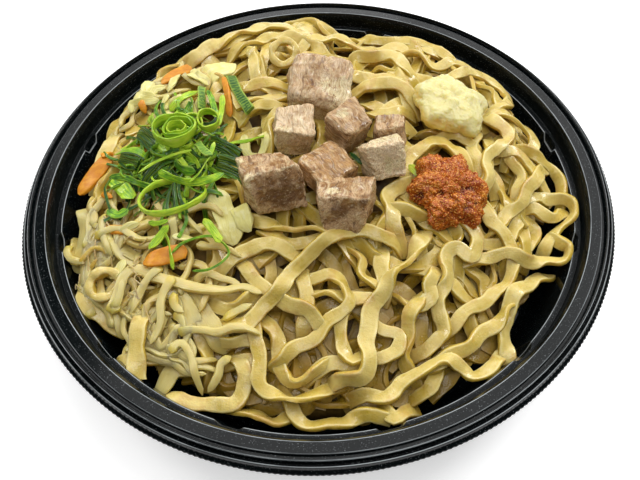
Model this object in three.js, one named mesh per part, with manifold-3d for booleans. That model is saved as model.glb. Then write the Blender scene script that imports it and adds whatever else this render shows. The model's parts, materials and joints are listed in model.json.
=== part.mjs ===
// A round black deep plate filled with soupless mixed noodles: wide wavy noodles in a low heap,
// cubes of simmered pork, grated garlic, chili paste, cut spring onion, bean sprouts, carrot and cabbage.
// Millimetres, +Z up. The origin is the centre of the plate's underside, and the eater sits at -Y.
import * as THREE from 'three';
import { mergeVertices } from 'three/addons/utils/BufferGeometryUtils.js';
import Module from 'manifold-3d';

const wasm = await Module();
wasm.setup();

// ---------------------------------------------------------------- driving dimensions

const PLATE_RADIUS = 115;
const FLANGE_HEIGHT = 33;       // top of the flat outer flange above the table
const SHEET = 1.1;              // thickness of the formed sheet
const BEAD_RADIUS = 110.6;      // crest of the raised bead inside the flange
const BEAD_RISE = 3;
const LEDGE_RADIUS = 100.8;     // inner edge of the twelve stepped ledges
const LEDGE_HEIGHT = 27.7;
const LEDGES = 12;
const SEGMENTS_PER_LEDGE = 4;   // three make the ledge, one the flute beside it
const FLOOR_RADIUS = 90.5;

const CROWN = 47;               // height of the heap at its middle
const HEAP_DROP = 17;           // how far it has fallen at HEAP_REACH
const HEAP_REACH = 95;
const HEAP_POWER = 2.2;
const HEAP_LEAN = 0.085;        // the heap is higher at the back
const CORE_DEPTH = 7.5;         // the core lies this far under the heap's surface
const CORE_RADIUS = 90;

const GAP = 0.3;                // between pieces that touch
const FACET_TOLERANCE = 0.02;   // corners this close to their neighbours' plane go
const STRAIGHT = 0.6;           // a strip's section is left out where the strip is this straight
const NOODLE_THICKNESS = 2.3;
const NOODLE_STEP = 3.6;
const NOODLE_SINK = 0.5;        // how far a noodle presses into what it lies on
const SPROUT_WIDTH = 4.3;

const INK = { plate: 0x14171a, noodle: 0xd9c688, sprout: 0xdcd0a6, pork: 0xa98673, garlic: 0xe9e0a2,
  paste: 0xa8431b, onion: 0x6aa02e, carrot: 0xe58a25, cabbage: 0xd8cc8e };

const heapTop = (x, y) =>
  CROWN - HEAP_DROP * (Math.hypot(x, y) / HEAP_REACH) ** HEAP_POWER + HEAP_LEAN * y;

// ---------------------------------------------------------------- small tools

function seeded(seed) {
  let state = seed;
  return () => {
    state = (state * 16807) % 2147483647;
    return state / 2147483647;
  };
}

// A closed skin over rings of equal length; each end is closed by a fan from its first corner.
function skin(rings) {
  const sides = rings[0].length;
  const last = (rings.length - 1) * sides;
  const index = [];
  for (let i = 0; i < rings.length - 1; i++) {
    for (let k = 0; k < sides; k++) {
      const a = i * sides + k;
      const b = i * sides + (k + 1) % sides;
      index.push(a, b, a + sides, b, b + sides, a + sides);
    }
  }
  for (let k = 1; k < sides - 1; k++) {
    index.push(0, k + 1, k, last, last + k, last + k + 1);
  }
  const geometry = new THREE.BufferGeometry().setFromPoints(rings.flat());
  geometry.setIndex(index);
  return geometry;
}

function solidOf(geometry) {
  const bare = geometry.clone();
  bare.deleteAttribute('normal');
  bare.deleteAttribute('uv');
  const merged = mergeVertices(bare, 1e-4);
  const solid = new wasm.Manifold(new wasm.Mesh({ numProp: 3,
    vertProperties: Float32Array.from(merged.attributes.position.array),
    triVerts: Uint32Array.from(merged.index.array) }));
  return solid.volume() > 0 ? solid : solidOf(turnedOut(merged));
}

function turnedOut(geometry) {
  const flipped = geometry.clone();
  const index = Array.from(geometry.index.array);
  for (let i = 0; i < index.length; i += 3) [index[i + 1], index[i + 2]] = [index[i + 2], index[i + 1]];
  flipped.setIndex(index);
  return flipped;
}

function geometryOf(solid) {
  const mesh = solid.getMesh();
  const geometry = new THREE.BufferGeometry();
  geometry.setAttribute('position', new THREE.BufferAttribute(mesh.vertProperties, 3));
  geometry.setIndex(new THREE.BufferAttribute(mesh.triVerts, 1));
  return geometry;
}

const joined = (solids) => solids.reduce((all, one) => all.add(one));

// The largest body alone: loose scraps and sealed hollows go.
function oneBody(solid) {
  const bodies = solid.decompose();
  return bodies.reduce((best, body) => (body.volume() > best.volume() ? body : best));
}

// ---------------------------------------------------------------- laying things on the heap

const CELL = 1.5;
const CELLS = 144;

class HeightMap {
  constructor(heightAt) {
    this.z = new Float64Array(CELLS * CELLS);
    for (let j = 0; j < CELLS; j++) {
      for (let i = 0; i < CELLS; i++) {
        this.z[j * CELLS + i] = heightAt((i - CELLS / 2) * CELL, (j - CELLS / 2) * CELL);
      }
    }
  }

  slot(x, y) {
    const i = Math.min(CELLS - 1, Math.max(0, Math.round(x / CELL + CELLS / 2)));
    const j = Math.min(CELLS - 1, Math.max(0, Math.round(y / CELL + CELLS / 2)));
    return j * CELLS + i;
  }

  at(x, y) {
    return this.z[this.slot(x, y)];
  }

  raise(x, y, height) {
    const slot = this.slot(x, y);
    this.z[slot] = Math.max(this.z[slot], height);
  }
}

// Points about one step apart on a smooth line through the given [x, y] stops.
function route(stops, step) {
  const curve = new THREE.CatmullRomCurve3(stops.map(([x, y]) => new THREE.Vector3(x, y, 0)), false, 'centripetal');
  return curve.getSpacedPoints(Math.max(3, Math.round(curve.getLength() / step)));
}

// Rests a strip of the given size on the map along a route, and adds it to the map.
function layStrip(map, stops, width, thickness,
  { step = NOODLE_STEP, lift = 3, twist = 0, phase = 0, sink = NOODLE_SINK } = {}) {
  const line = route(stops, step);
  const across = line.map((point, i) => {
    const before = line[Math.max(0, i - 1)];
    const after = line[Math.min(line.length - 1, i + 1)];
    return new THREE.Vector3(before.y - after.y, after.x - before.x, 0).normalize();
  });
  line.forEach((point, i) => {
    const support = [-0.4, 0, 0.4].map((share) => map.at(point.x + across[i].x * width * share,
      point.y + across[i].y * width * share));
    point.z = Math.max(...support) + thickness / 2 - sink;
  });
  for (let round = 0; round < 6; round++) {
    for (let i = 1; i < line.length - 1; i++) {
      line[i].z = Math.max(line[i].z, (line[i - 1].z + line[i + 1].z) / 2 - 0.1);
    }
  }
  line.forEach((point, i) => {
    point.z = Math.min(point.z, heapTop(point.x, point.y) + lift);
    for (let share = -0.5; share <= 0.5; share += 0.125) {
      for (const ahead of [0, 0.5]) {
        const next = line[Math.min(line.length - 1, i + 1)];
        map.raise(point.x + (next.x - point.x) * ahead + across[i].x * width * share,
          point.y + (next.y - point.y) * ahead + across[i].y * width * share, point.z + thickness / 2);
      }
    }
  });
  return thinned(line.map((point, i) => {
    const roll = twist * Math.sin(phase + i * step / 9);
    const side = across[i].clone().multiplyScalar(Math.cos(roll));
    side.z = Math.sin(roll);
    const along = new THREE.Vector3(across[i].y, -across[i].x, 0);
    const up = along.clone().cross(side).multiplyScalar(-1);
    return { point, side, up };
  }));
}

// The frames that a strip needs: those on its straight stretches are left out.
function thinned(frames) {
  const isStraight = (from, to) => {
    const chord = new THREE.Line3(frames[from].point, frames[to].point);
    const nearest = new THREE.Vector3();
    return frames[from].side.dot(frames[to].side) > 0.92 && frames.slice(from + 1, to).every(({ point }) =>
      chord.closestPointToPoint(point, true, nearest).distanceTo(point) < STRAIGHT);
  };
  const kept = [frames[0]];
  let from = 0;
  while (from < frames.length - 1) {
    let to = from + 1;
    while (to + 1 < frames.length && isStraight(from, to + 1)) to += 1;
    kept.push(frames[to]);
    from = to;
  }
  return kept;
}

// A strip's solid: a flat bar of four corners a section.
function stripSolid(frames, width, thickness, extra = 0) {
  const halfWidth = width / 2 + extra;
  const halfThickness = thickness / 2 + extra;
  const corners = [[1, 1], [-1, 1], [-1, -1], [1, -1]];
  const rings = frames.map(({ point, side, up }) => corners.map(([a, b]) =>
    point.clone().addScaledVector(side, a * halfWidth).addScaledVector(up, b * halfThickness)));
  if (extra > 0) {
    for (const [ring, next] of [[rings[0], rings[1]], [rings[rings.length - 1], rings[rings.length - 2]]]) {
      const out = ring[0].clone().sub(next[0]).setLength(extra);
      ring.forEach((corner) => corner.add(out));
    }
  }
  return solidOf(skin(rings));
}

// A round strand, such as a sprout: a tube of five sides that thins towards its tail.
function strandSolid(frames, width, extra = 0, tail = 0.6) {
  const rings = frames.map(({ point, side, up }, i) => {
    const radius = width / 2 * (1 - (1 - tail) * i / (frames.length - 1)) + extra;
    return [0, 1, 2, 3, 4].map((k) => point.clone()
      .addScaledVector(side, radius * Math.cos(k * 0.4 * Math.PI))
      .addScaledVector(up, radius * Math.sin(k * 0.4 * Math.PI)));
  });
  return solidOf(skin(rings));
}

// ---------------------------------------------------------------- plate

function plateSection(isFlute) {
  const ledge = isFlute ? LEDGE_RADIUS + 1.5 : LEDGE_RADIUS;
  const band = FLANGE_HEIGHT + 1.8;
  const inner = [[PLATE_RADIUS, FLANGE_HEIGHT], [BEAD_RADIUS + 2.6, FLANGE_HEIGHT],
    [BEAD_RADIUS, FLANGE_HEIGHT + BEAD_RISE], [BEAD_RADIUS - 0.9, band + 0.6],
    [BEAD_RADIUS - 5.4, band], [BEAD_RADIUS - 6.4, band - 1.2], [LEDGE_RADIUS + 1.7, LEDGE_HEIGHT + 1.3],
    [ledge, LEDGE_HEIGHT], [FLOOR_RADIUS + 2.2, SHEET + 2.4], [FLOOR_RADIUS, SHEET]];
  const outer = [[FLOOR_RADIUS + 0.6, 0], [FLOOR_RADIUS + 3.3, 2.6], [ledge + 1, LEDGE_HEIGHT - 0.8],
    [LEDGE_RADIUS + 2.9, LEDGE_HEIGHT + 0.8], [BEAD_RADIUS - 5.2, band - 1.6],
    [BEAD_RADIUS - 0.4, band - 0.7], [BEAD_RADIUS + 1.9, FLANGE_HEIGHT - SHEET],
    [PLATE_RADIUS, FLANGE_HEIGHT - SHEET]];
  return [...inner, ...outer];
}

function plateSolid() {
  const segments = LEDGES * SEGMENTS_PER_LEDGE;
  const points = [];
  const index = [];
  const count = plateSection(false).length;
  for (let i = 0; i < segments; i++) {
    const angle = (i + 0.5) / segments * 2 * Math.PI;
    for (const [r, z] of plateSection(i % SEGMENTS_PER_LEDGE === 0)) {
      points.push(new THREE.Vector3(r * Math.cos(angle), r * Math.sin(angle), z));
    }
  }
  const top = points.push(new THREE.Vector3(0, 0, SHEET)) - 1;
  const base = points.push(new THREE.Vector3(0, 0, 0)) - 1;
  const floorCorner = 9;
  for (let i = 0; i < segments; i++) {
    const here = i * count;
    const next = (i + 1) % segments * count;
    for (let k = 0; k < count; k++) {
      const up = (k + 1) % count;
      if (k === floorCorner) {
        index.push(here + k, next + k, top, next + up, here + up, base);
      } else {
        index.push(here + k, next + k, here + up, next + k, next + up, here + up);
      }
    }
  }
  const geometry = new THREE.BufferGeometry().setFromPoints(points);
  geometry.setIndex(index);
  return solidOf(geometry);
}

// Height of the plate's inside at a radius, ledges counted in.
function wallHeight(radius) {
  if (radius < FLOOR_RADIUS + 2.2) return SHEET;
  if (radius > LEDGE_RADIUS) return radius > LEDGE_RADIUS + 1.7 ? FLANGE_HEIGHT + 2 : LEDGE_HEIGHT + 1.5;
  const share = (radius - FLOOR_RADIUS - 2.2) / (LEDGE_RADIUS - FLOOR_RADIUS - 2.2);
  return SHEET + 2.4 + share * (LEDGE_HEIGHT - SHEET - 2.4);
}

// The room inside the plate and over it, short of the sheet by the gap.
function roomSolid() {
  const [crest, floorCorner] = [2, 9];
  const segments = LEDGES * SEGMENTS_PER_LEDGE;
  const rings = [];
  for (let k = floorCorner; k >= crest; k--) {
    rings.push(Array.from({ length: segments }, (_, i) => {
      const angle = (i + 0.5) / segments * 2 * Math.PI;
      const [r, z] = plateSection(i % SEGMENTS_PER_LEDGE === 0)[k];
      return new THREE.Vector3((r - GAP) * Math.cos(angle), (r - GAP) * Math.sin(angle), z + GAP);
    }));
  }
  rings.push(rings[rings.length - 1].map((point) => point.clone().setZ(2 * CROWN)));
  return solidOf(skin(rings));
}

// ---------------------------------------------------------------- pork, garlic and paste

// A cube with softened edges, pulled slightly out of true.
function chunkSolid({ at, size, turn, soft = 0.25, seed = 1 }, extra = 0) {
  const random = seeded(seed * 7919);
  const box = new THREE.BoxGeometry(2, 2, 2, 3, 3, 3);
  box.deleteAttribute('normal');
  box.deleteAttribute('uv');
  const geometry = mergeVertices(box, 1e-4);
  const position = geometry.attributes.position;
  const corner = new THREE.Vector3();
  for (let i = 0; i < position.count; i++) {
    corner.fromBufferAttribute(position, i);
    const ball = corner.clone().normalize().multiplyScalar(1.3);
    corner.lerp(ball, soft);
    const uneven = 1 + (random() - 0.5) * 0.1;
    corner.multiplyScalar(uneven);
    corner.set(corner.x * (size[0] / 2 + extra), corner.y * (size[1] / 2 + extra), corner.z * (size[2] / 2 + extra));
    position.setXYZ(i, corner.x, corner.y, corner.z);
  }
  const [yaw, pitch, roll] = turn.map(THREE.MathUtils.degToRad);
  geometry.applyMatrix4(new THREE.Matrix4().makeRotationFromEuler(new THREE.Euler(pitch, roll, yaw, 'ZXY')));
  geometry.translate(at[0], at[1], heapTop(at[0], at[1]) + at[2]);
  return solidOf(geometry);
}

// Middle [x, y, height over the heap], size and turn (yaw, pitch, roll in degrees) of each piece.
const PORK = [
  { at: [0, 34, 3], size: [22, 17, 18], turn: [-4, 14, 10], soft: 0.4, seed: 3 },
  { at: [-8, 12, 3], size: [13, 13.5, 13], turn: [1, 8, 6], soft: 0.15, seed: 2 },
  { at: [-16, -13, 3], size: [18.5, 15, 15], turn: [14, -20, 1], soft: 0.12, seed: 5 },
  { at: [2, -5, 2.5], size: [18, 15, 9], turn: [24, 4, 8], soft: 0.45, seed: 4 },
  { at: [10, -22, 2.5], size: [20, 13, 15], turn: [-8, -20, -3], soft: 0.15, seed: 6 },
  { at: [12, 14, 2.5], size: [15, 13, 15], turn: [12, 14, 6], soft: 0.3, seed: 7 },
  { at: [29, 8, 1], size: [11, 10, 12], turn: [-7, -10, -5], soft: 0.25, seed: 8 },
  { at: [26, -6, 3], size: [15.5, 15, 12], turn: [9, -18, 1], soft: 0.15, seed: 9 },
];

// A mound on the heap: a squashed ball with a scalloped edge.
function moundSolid({ at, radius, rise, points, depth, seed, around = 18 }, extra = 0) {
  const random = seeded(seed);
  const geometry = new THREE.SphereGeometry(1, around, 8);
  geometry.deleteAttribute('normal');
  geometry.deleteAttribute('uv');
  const ball = mergeVertices(geometry, 1e-4);
  const position = ball.attributes.position;
  for (let i = 0; i < position.count; i++) {
    const [px, pz, py] = [position.getX(i), position.getY(i), position.getZ(i)];
    const angle = Math.atan2(py, px);
    const uneven = 1 + (random() - 0.5) * 0.12;
    const star = 1 + depth * Math.cos(points * angle + seed);
    const x = at[0] + px * star * uneven * (radius[0] + extra);
    const y = at[1] + py * star * uneven * (radius[1] + extra);
    const half = pz > 0 ? rise : 4;
    position.setXYZ(i, x, y, heapTop(at[0], at[1]) + (x - at[0]) * slopeX(at) + (y - at[1]) * slopeY(at)
      + at[2] + pz * uneven * (half + extra));
  }
  return solidOf(ball);
}

const slopeX = ([x, y]) => (heapTop(x + 1, y) - heapTop(x - 1, y)) / 2;
const slopeY = ([x, y]) => (heapTop(x, y + 1) - heapTop(x, y - 1)) / 2;

const GARLIC = { at: [58, 27, 0], radius: [15.5, 15], rise: 11, points: 5, depth: 0.05, seed: 11 };
const PASTE = { at: [49, -15, 0], radius: [15, 15.5], rise: 8, points: 7, depth: 0.09, seed: 12, around: 21 };

// ---------------------------------------------------------------- carrot and cabbage

const CARROTS = [
  { width: 5, thickness: 4, stops: [[-98, 6], [-89, 10], [-79, 14]], lift: 5 },
  { width: 7, thickness: 3, stops: [[-66, 52], [-59, 56], [-52, 59]] },
  { width: 4, thickness: 2, stops: [[-37, 48], [-36, 38], [-34, 28]] },
  { width: 7, thickness: 3, stops: [[-65, -34], [-57, -33], [-48, -31]] },
  { width: 4, thickness: 3, stops: [[-81, -20], [-73, -21]] },
];

const CABBAGES = [
  { width: 12, thickness: 3, stops: [[-41, -8], [-36, -17], [-30, -28]], twist: 0.4 },
  { width: 8, thickness: 4, stops: [[-28, -13], [-25, -20], [-23, -27]], twist: 0.5 },
  { width: 5, thickness: 2.5, stops: [[-31, 23], [-27, 14], [-21, 9], [-18, 14], [-20, 20]] },
  { width: 10, thickness: 1.6, stops: [[-48, 52], [-41, 57], [-34, 64]], twist: 0.4 },
];

// ---------------------------------------------------------------- spring onion

// A cut ring: a thin band round a tilted circle, drawn out to an oval.
function ringSolid({ at, radius, oval = 1, tilt = [0, 0], band = 1.8, deep = 3 }, extra = 0) {
  const steps = Math.max(7, Math.round(radius));
  const points = [];
  const turn = new THREE.Euler(THREE.MathUtils.degToRad(tilt[0]), 0, THREE.MathUtils.degToRad(tilt[1]), 'ZXY');
  const corners = [[1, 1], [-1, 1], [-1, -1], [1, -1]];
  for (let i = 0; i < steps; i++) {
    const angle = i / steps * 2 * Math.PI;
    for (const [a, b] of corners) {
      const reach = radius - band / 2 + a * (band / 2 + extra);
      const point = new THREE.Vector3(reach * Math.cos(angle), reach * oval * Math.sin(angle),
        b * (deep / 2 + extra)).applyEuler(turn);
      points.push(point.add(new THREE.Vector3(at[0], at[1], heapTop(at[0], at[1]) + at[2])));
    }
  }
  const index = [];
  for (let i = 0; i < steps; i++) {
    for (let k = 0; k < 4; k++) {
      const [a, b] = [i * 4 + k, i * 4 + (k + 1) % 4];
      const [c, d] = [(i + 1) % steps * 4 + k, (i + 1) % steps * 4 + (k + 1) % 4];
      index.push(a, b, c, b, d, c);
    }
  }
  const geometry = new THREE.BufferGeometry().setFromPoints(points);
  geometry.setIndex(index);
  return solidOf(geometry);
}

const ONION_CORE = { at: [-54, 10, 0], radius: [20, 22], rise: 6, points: 3, depth: 0.1, seed: 21, around: 12 };

const ONION_RINGS = [
  { at: [-53, -14, 3], radius: 12.5, tilt: [-20, 4], band: 2.4 },
  { at: [-57, 21, 7], radius: 8, tilt: [-14, 8], band: 2.2, deep: 4 },
  { at: [-57, 21, 5.5], radius: 4.6, tilt: [-14, 8], band: 1.6, deep: 4 },
  { at: [-46, 23, 6], radius: 4.6, tilt: [10, 20], band: 1.6, deep: 4 },
  { at: [-50, 3, 6], radius: 10.5, tilt: [-4, -10], band: 2.2, deep: 4 },
  { at: [-78, -9, 2], radius: 8, oval: 1.2, tilt: [-5, 30], band: 2.2, deep: 4 },
  { at: [-43, -34, 1], radius: 10.5, oval: 0.62, tilt: [0, 0], band: 2 },
];

const ONION_STRIPS = [
  { width: 4.5, thickness: 2, stops: [[-70, 1], [-58, 7], [-46, 14]], lift: 9, twist: 0.3 },
  { width: 5, thickness: 2, stops: [[-48, 46], [-48, 37], [-48, 25]], lift: 7, twist: 0.4 },
  { width: 4.5, thickness: 2, stops: [[-44, 46], [-42, 37], [-41, 23]], lift: 7, twist: 0.4 },
  { width: 6, thickness: 2, stops: [[-47, 4], [-38, 5], [-31, 4]], lift: 6, twist: 0.5 },
  { width: 6, thickness: 2, stops: [[-80, 24], [-74, 19], [-64, 15]], lift: 6, twist: 0.5 },
  { width: 5, thickness: 2, stops: [[-68, 34], [-58, 31], [-50, 29]], lift: 7, twist: 0.4 },
  { width: 5, thickness: 2.4, stops: [[-54, -4], [-54, -18], [-50, -27], [-41, -28]], lift: 6, twist: 0.2 },
  { width: 5, thickness: 2.4, stops: [[-66, 4], [-72, -1], [-79, -2], [-84, -7]], lift: 6, twist: 0.2 },
];

const ONION_LEAF = { width: 5, thickness: 2, stops: [[-34, 51], [-31, 37], [-27, 24]], twist: 0.3 };

// ---------------------------------------------------------------- bean sprouts

const SPROUT_CORE = { at: [-67, -35, -2], radius: [18, 20], rise: 4, points: 4, depth: 0.08, seed: 31, around: 12 };

const SPROUTS = [
  [[-76, -53], [-74, -46], [-69, -38], [-61, -37], [-50, -41], [-38, -45], [-28, -47], [-15, -54]],
  [[-82, -14], [-80, -25], [-76, -33]],
  [[-54, -20], [-53, -27], [-56, -34]],
  [[-84, -24], [-75, -22], [-66, -27], [-57, -26]],
  [[-57, -38], [-63, -45], [-67, -55]],
  [[-52, -44], [-56, -52], [-56, -60], [-59, -67]],
];

// ---------------------------------------------------------------- noodles

// Each noodle's width and the stops it runs through, from the lowest to the topmost.
const NOODLES = [
  [8, [[-87, 30], [-84, 42], [-78, 52], [-70, 59]]],
  [6.5, [[-88, -4], [-89, -14], [-87, -24]]],
  [7, [[-90, 8], [-88, 20], [-85, 30]]],
  [8, [[-70, 60], [-62, 70], [-54, 73], [-46, 70]]],
  [7, [[-82, -30], [-88, -38], [-86, -47], [-80, -53], [-72, -57]]],
  [7, [[-69, -70], [-60, -70], [-51, -69]]],
  [6.5, [[-31, -73], [-22, -73.5]]],
  [6.5, [[-37, -66], [-29, -67], [-22, -67]]],
  [7, [[-29, -88], [-23, -91], [-17, -92], [-11, -91]]],
  [6.5, [[-40, -53], [-30, -56], [-24, -52]]],
  [7, [[-6, -46], [-5, -55], [-6, -64]]],
  [6.5, [[0, -52], [9, -54], [18, -55]]],
  [7, [[22, -39], [23, -46], [22, -52]]],
  [7, [[38, -44], [46, -48], [52, -53]]],
  [7, [[-4, -79], [2, -76], [8, -76.5], [13, -79]]],
  [7, [[20, -90], [23, -94], [28, -91]]],
  [6.5, [[31, -86], [36, -85], [38, -79]]],
  [7, [[20, 58], [29, 59], [37, 56], [42, 48]]],
  [7, [[16, 48], [20, 44], [27, 42], [35, 43]]],
  [7, [[17, 37], [27, 39], [36, 37], [42, 31]]],
  [7, [[-31, 44], [-20, 43], [-9, 42]]],
  [6.5, [[-28, 36], [-19, 36], [-10, 37]]],
  [6.5, [[-26, 29], [-19, 30], [-14, 27], [-18, 18], [-18, 8]]],
  [6, [[-26, 68], [-25, 58], [-24, 50]]],
  [8, [[-36, 71], [-24, 76], [-12, 75], [-3, 70], [4, 63]]],
  [8, [[-56, 66], [-46, 73], [-37, 81], [-26, 85], [-14, 86], [-7, 81], [2, 75]]],
  [7.5, [[-4, 66], [4, 74], [11, 77], [19, 74], [27, 69], [35, 71], [42, 69]]],
  [6.5, [[40, 64], [48, 63], [54, 56], [62, 59], [72, 58]]],
  [6.5, [[60, 49], [69, 54], [78, 54], [84, 46], [83, 37], [76, 31]]],
  [6.5, [[72, 28], [79, 27], [86, 22], [90, 15], [87, 8]]],
  [6, [[84, 10], [90, 7], [96, 3], [99, -3], [97, -9]]],
  [6.5, [[74, 8], [80, 6], [86, 1], [91, -6]]],
  [6.5, [[82, -12], [90, -10.5], [97, -10.5], [100, -15], [98, -20], [92, -24], [87, -30]]],
  [6, [[84, -17], [90, -19], [95, -17]]],
  [7, [[90, 1], [85, -6], [79, -14], [72, -21], [66, -27]]],
  [6.5, [[62, -14], [66, -8], [66, 0], [71, 7], [78, 13], [77, 20], [72, 26]]],
  [6.5, [[35, -3], [37, 4], [42, 9], [49, 10], [55, 6], [60, -2]]],
  [7.5, [[36, -9], [30, -12], [26.5, -18], [27, -26], [29, -34]]],
  [6.5, [[30, -23], [39, -24]]],
  [7, [[-24, -22], [-15, -27], [-6, -29], [4, -30], [12, -31]]],
  [6.5, [[62, -18], [65, -25], [70, -32], [71, -40], [68, -47], [61, -53], [53, -58], [44, -64]]],
  [7.5, [[83, -42], [77, -47], [71, -51], [67, -57], [64, -64], [64, -72]]],
  [7, [[66, -58], [60, -64], [53, -69], [45, -74], [37, -77]]],
  [6.5, [[54, -40], [65, -38], [75, -39], [84, -38.5], [91, -37], [94, -33], [91, -30]]],
  [7, [[54, -24], [58, -32], [55, -40], [50, -36.5], [46.5, -38], [45, -48], [42, -55], [41, -61], [42.5, -67], [33, -72]]],
  [6.5, [[40, -48], [37.5, -51], [38.5, -55], [34, -58], [29, -55]]],
  [6.5, [[33, -57], [31, -62], [29, -68], [28, -74], [30, -79]]],
  [6, [[15, -73], [20, -75], [25, -73], [26, -68], [21, -65], [17, -62]]],
  [6.5, [[60, -75], [56, -79], [51, -81], [47, -78], [42, -76], [36, -78], [30, -81], [20, -87], [12, -86]]],
  [6.5, [[8, -59], [6.5, -66], [7, -73], [10, -76], [14, -73]]],
  [6.5, [[-13, -84], [-11, -91], [-4, -94.5], [4, -94], [11, -92], [18, -93]]],
  [6.5, [[-52, -84], [-44, -86], [-36, -87], [-29, -85], [-26, -79], [-29, -74]]],
  [6.5, [[-47, -53], [-43, -63], [-40, -69], [-40, -76]]],
  [6.5, [[-19, -61], [-15, -68], [-15, -76], [-11, -82], [-6, -81], [0, -77]]],
  [7, [[-24, -62], [-22, -68], [-22, -77], [-20, -84], [-13, -87], [-4, -86], [3, -83]]],
  [6.5, [[-2, -46], [4, -46.5], [9, -51], [10, -56], [5, -61], [-2, -67], [-9, -71], [-14, -74]]],
  [7, [[-27, -40], [-24, -45], [-14, -54], [-7, -58], [-2, -62]]],
  [7, [[-38, -43], [-32, -38], [-26, -35], [-19, -34], [-10, -37]]],
  [7, [[-37, -61], [-28, -62], [-22, -59], [-14, -51], [-8, -43], [-2, -38], [8, -33], [17, -31.5], [27, -35]]],
  [8, [[38, -31], [36, -37], [30, -44], [23, -51], [18, -59], [15, -68], [15.5, -76], [13, -82], [5, -82]]],
  [6.5, [[-95, -19], [-94, -26], [-90, -31], [-84, -28], [-78, -30]]],
  [6, [[-76, -38], [-83, -37], [-86, -43], [-80, -47], [-75, -43]]],
  [6.5, [[-61, -50], [-63, -60], [-64, -68], [-64, -79]]],
];

function coreSolid(extra = 0) {
  const around = 32;
  const random = seeded(41);
  const rings = [];
  const edge = Array.from({ length: around }, () => CORE_RADIUS + (random() - 0.5) * 4);
  const shares = [1, 0.95, 0.76, 0.54, 0.28];
  const bottom = SHEET + GAP;
  const ring = (radiusAt, heightAt) => Array.from({ length: around }, (_, k) => {
    const angle = k / around * 2 * Math.PI;
    const radius = radiusAt(k);
    const [x, y] = [radius * Math.cos(angle), radius * Math.sin(angle)];
    return new THREE.Vector3(x, y, heightAt(x, y));
  });
  rings.push(ring(() => 30, () => bottom));
  rings.push(ring(() => FLOOR_RADIUS - 2.5, () => bottom));
  rings.push(ring(() => FLOOR_RADIUS, () => bottom + 6));
  for (const share of shares) {
    rings.push(ring((k) => edge[k] * share,
      (x, y) => heapTop(x, y) - CORE_DEPTH - (share === 1 ? 4 : 0) + (random() - 0.5) * 2 + extra));
  }
  return solidOf(skin(rings));
}

// ---------------------------------------------------------------- building the group

const model = new THREE.Group();
const placed = [];              // grown copies that later pieces are cut by

function addPiece(name, color, solid, roughness = 0.6) {
  const body = oneBody(solid).simplify(FACET_TOLERANCE);
  const mesh = new THREE.Mesh(geometryOf(body),
    new THREE.MeshStandardMaterial({ color, roughness, metalness: 0 }));
  mesh.name = name;
  model.add(mesh);
  return mesh;
}

// Adds a piece cut by all that came before it, and remembers its grown form.
function fitPiece(name, color, make) {
  const solid = placed.reduce((left, other) => left.subtract(other), make(0).intersect(room));
  addPiece(name, color, solid);
  placed.push(make(GAP));
}

addPiece('plate', INK.plate, plateSolid(), 0.35);
const room = roomSolid();

PORK.forEach((piece, i) => fitPiece(`pork_${i + 1}`, INK.pork, (extra) => chunkSolid(piece, extra)));
fitPiece('garlic', INK.garlic, (extra) => moundSolid(GARLIC, extra));
fitPiece('chili_paste', INK.paste, (extra) => moundSolid(PASTE, extra));

const loose = new HeightMap(heapTop);
const laid = (map, piece) => {
  const frames = layStrip(map, piece.stops, piece.width, piece.thickness, piece);
  return (extra) => stripSolid(frames, piece.width, piece.thickness, extra);
};
fitPiece('onion_leaf', INK.onion, laid(loose, ONION_LEAF));
CARROTS.forEach((piece, i) => fitPiece(`carrot_${i + 1}`, INK.carrot, laid(loose, piece)));
CABBAGES.forEach((piece, i) => fitPiece(`cabbage_${i + 1}`, INK.cabbage, laid(loose, piece)));

// The heap's surface with a mound on it.
const mounded = ({ at, radius, rise }) => new HeightMap((x, y) => {
  const reach = Math.hypot((x - at[0]) / radius[0], (y - at[1]) / radius[1]);
  return Math.max(heapTop(x, y), heapTop(x, y) + at[2] + rise * Math.sqrt(Math.max(0, 1 - reach * reach)));
});
const onionMap = mounded(ONION_CORE);
const onionStrips = ONION_STRIPS.map((strip) => laid(onionMap, { ...strip, sink: 1.3 }));
fitPiece('spring_onion', INK.onion, (extra) => joined([moundSolid(ONION_CORE, extra),
  ...ONION_RINGS.map((ring) => ringSolid(ring, extra)), ...onionStrips.map((strip) => strip(extra))]));

const sproutMap = mounded(SPROUT_CORE);
const sproutFrames = SPROUTS.map((stops) =>
  layStrip(sproutMap, stops, SPROUT_WIDTH, SPROUT_WIDTH, { lift: 5, sink: 1.8 }));
fitPiece('sprouts', INK.sprout, (extra) => joined([moundSolid(SPROUT_CORE, extra),
  ...sproutFrames.map((frames) => strandSolid(frames, SPROUT_WIDTH, extra))]));

const heap = new HeightMap((x, y) =>
  Math.max(heapTop(x, y) - CORE_DEPTH - 0.5, wallHeight(Math.hypot(x, y)) + GAP));
const noodles = NOODLES.map(([width, stops], i) => stripSolid(layStrip(heap, stops, width, NOODLE_THICKNESS,
  { twist: 0.3, phase: i * 2.4, lift: 2.5 }), width, NOODLE_THICKNESS));
fitPiece('noodles', INK.noodle, () => joined([coreSolid(), ...noodles]));

export default model;
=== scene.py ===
"""A round black deep plate of mixed noodles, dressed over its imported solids.

Lengths are worked out in millimetres, +Z up, with the origin under the middle of the plate and the
eater at -Y. They become metres when a mesh is written.
"""
import functools
import itertools
import json
import math
import random
from types import SimpleNamespace

import bmesh
import bpy
import numpy as np
from mathutils import Matrix, Vector, noise

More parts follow.
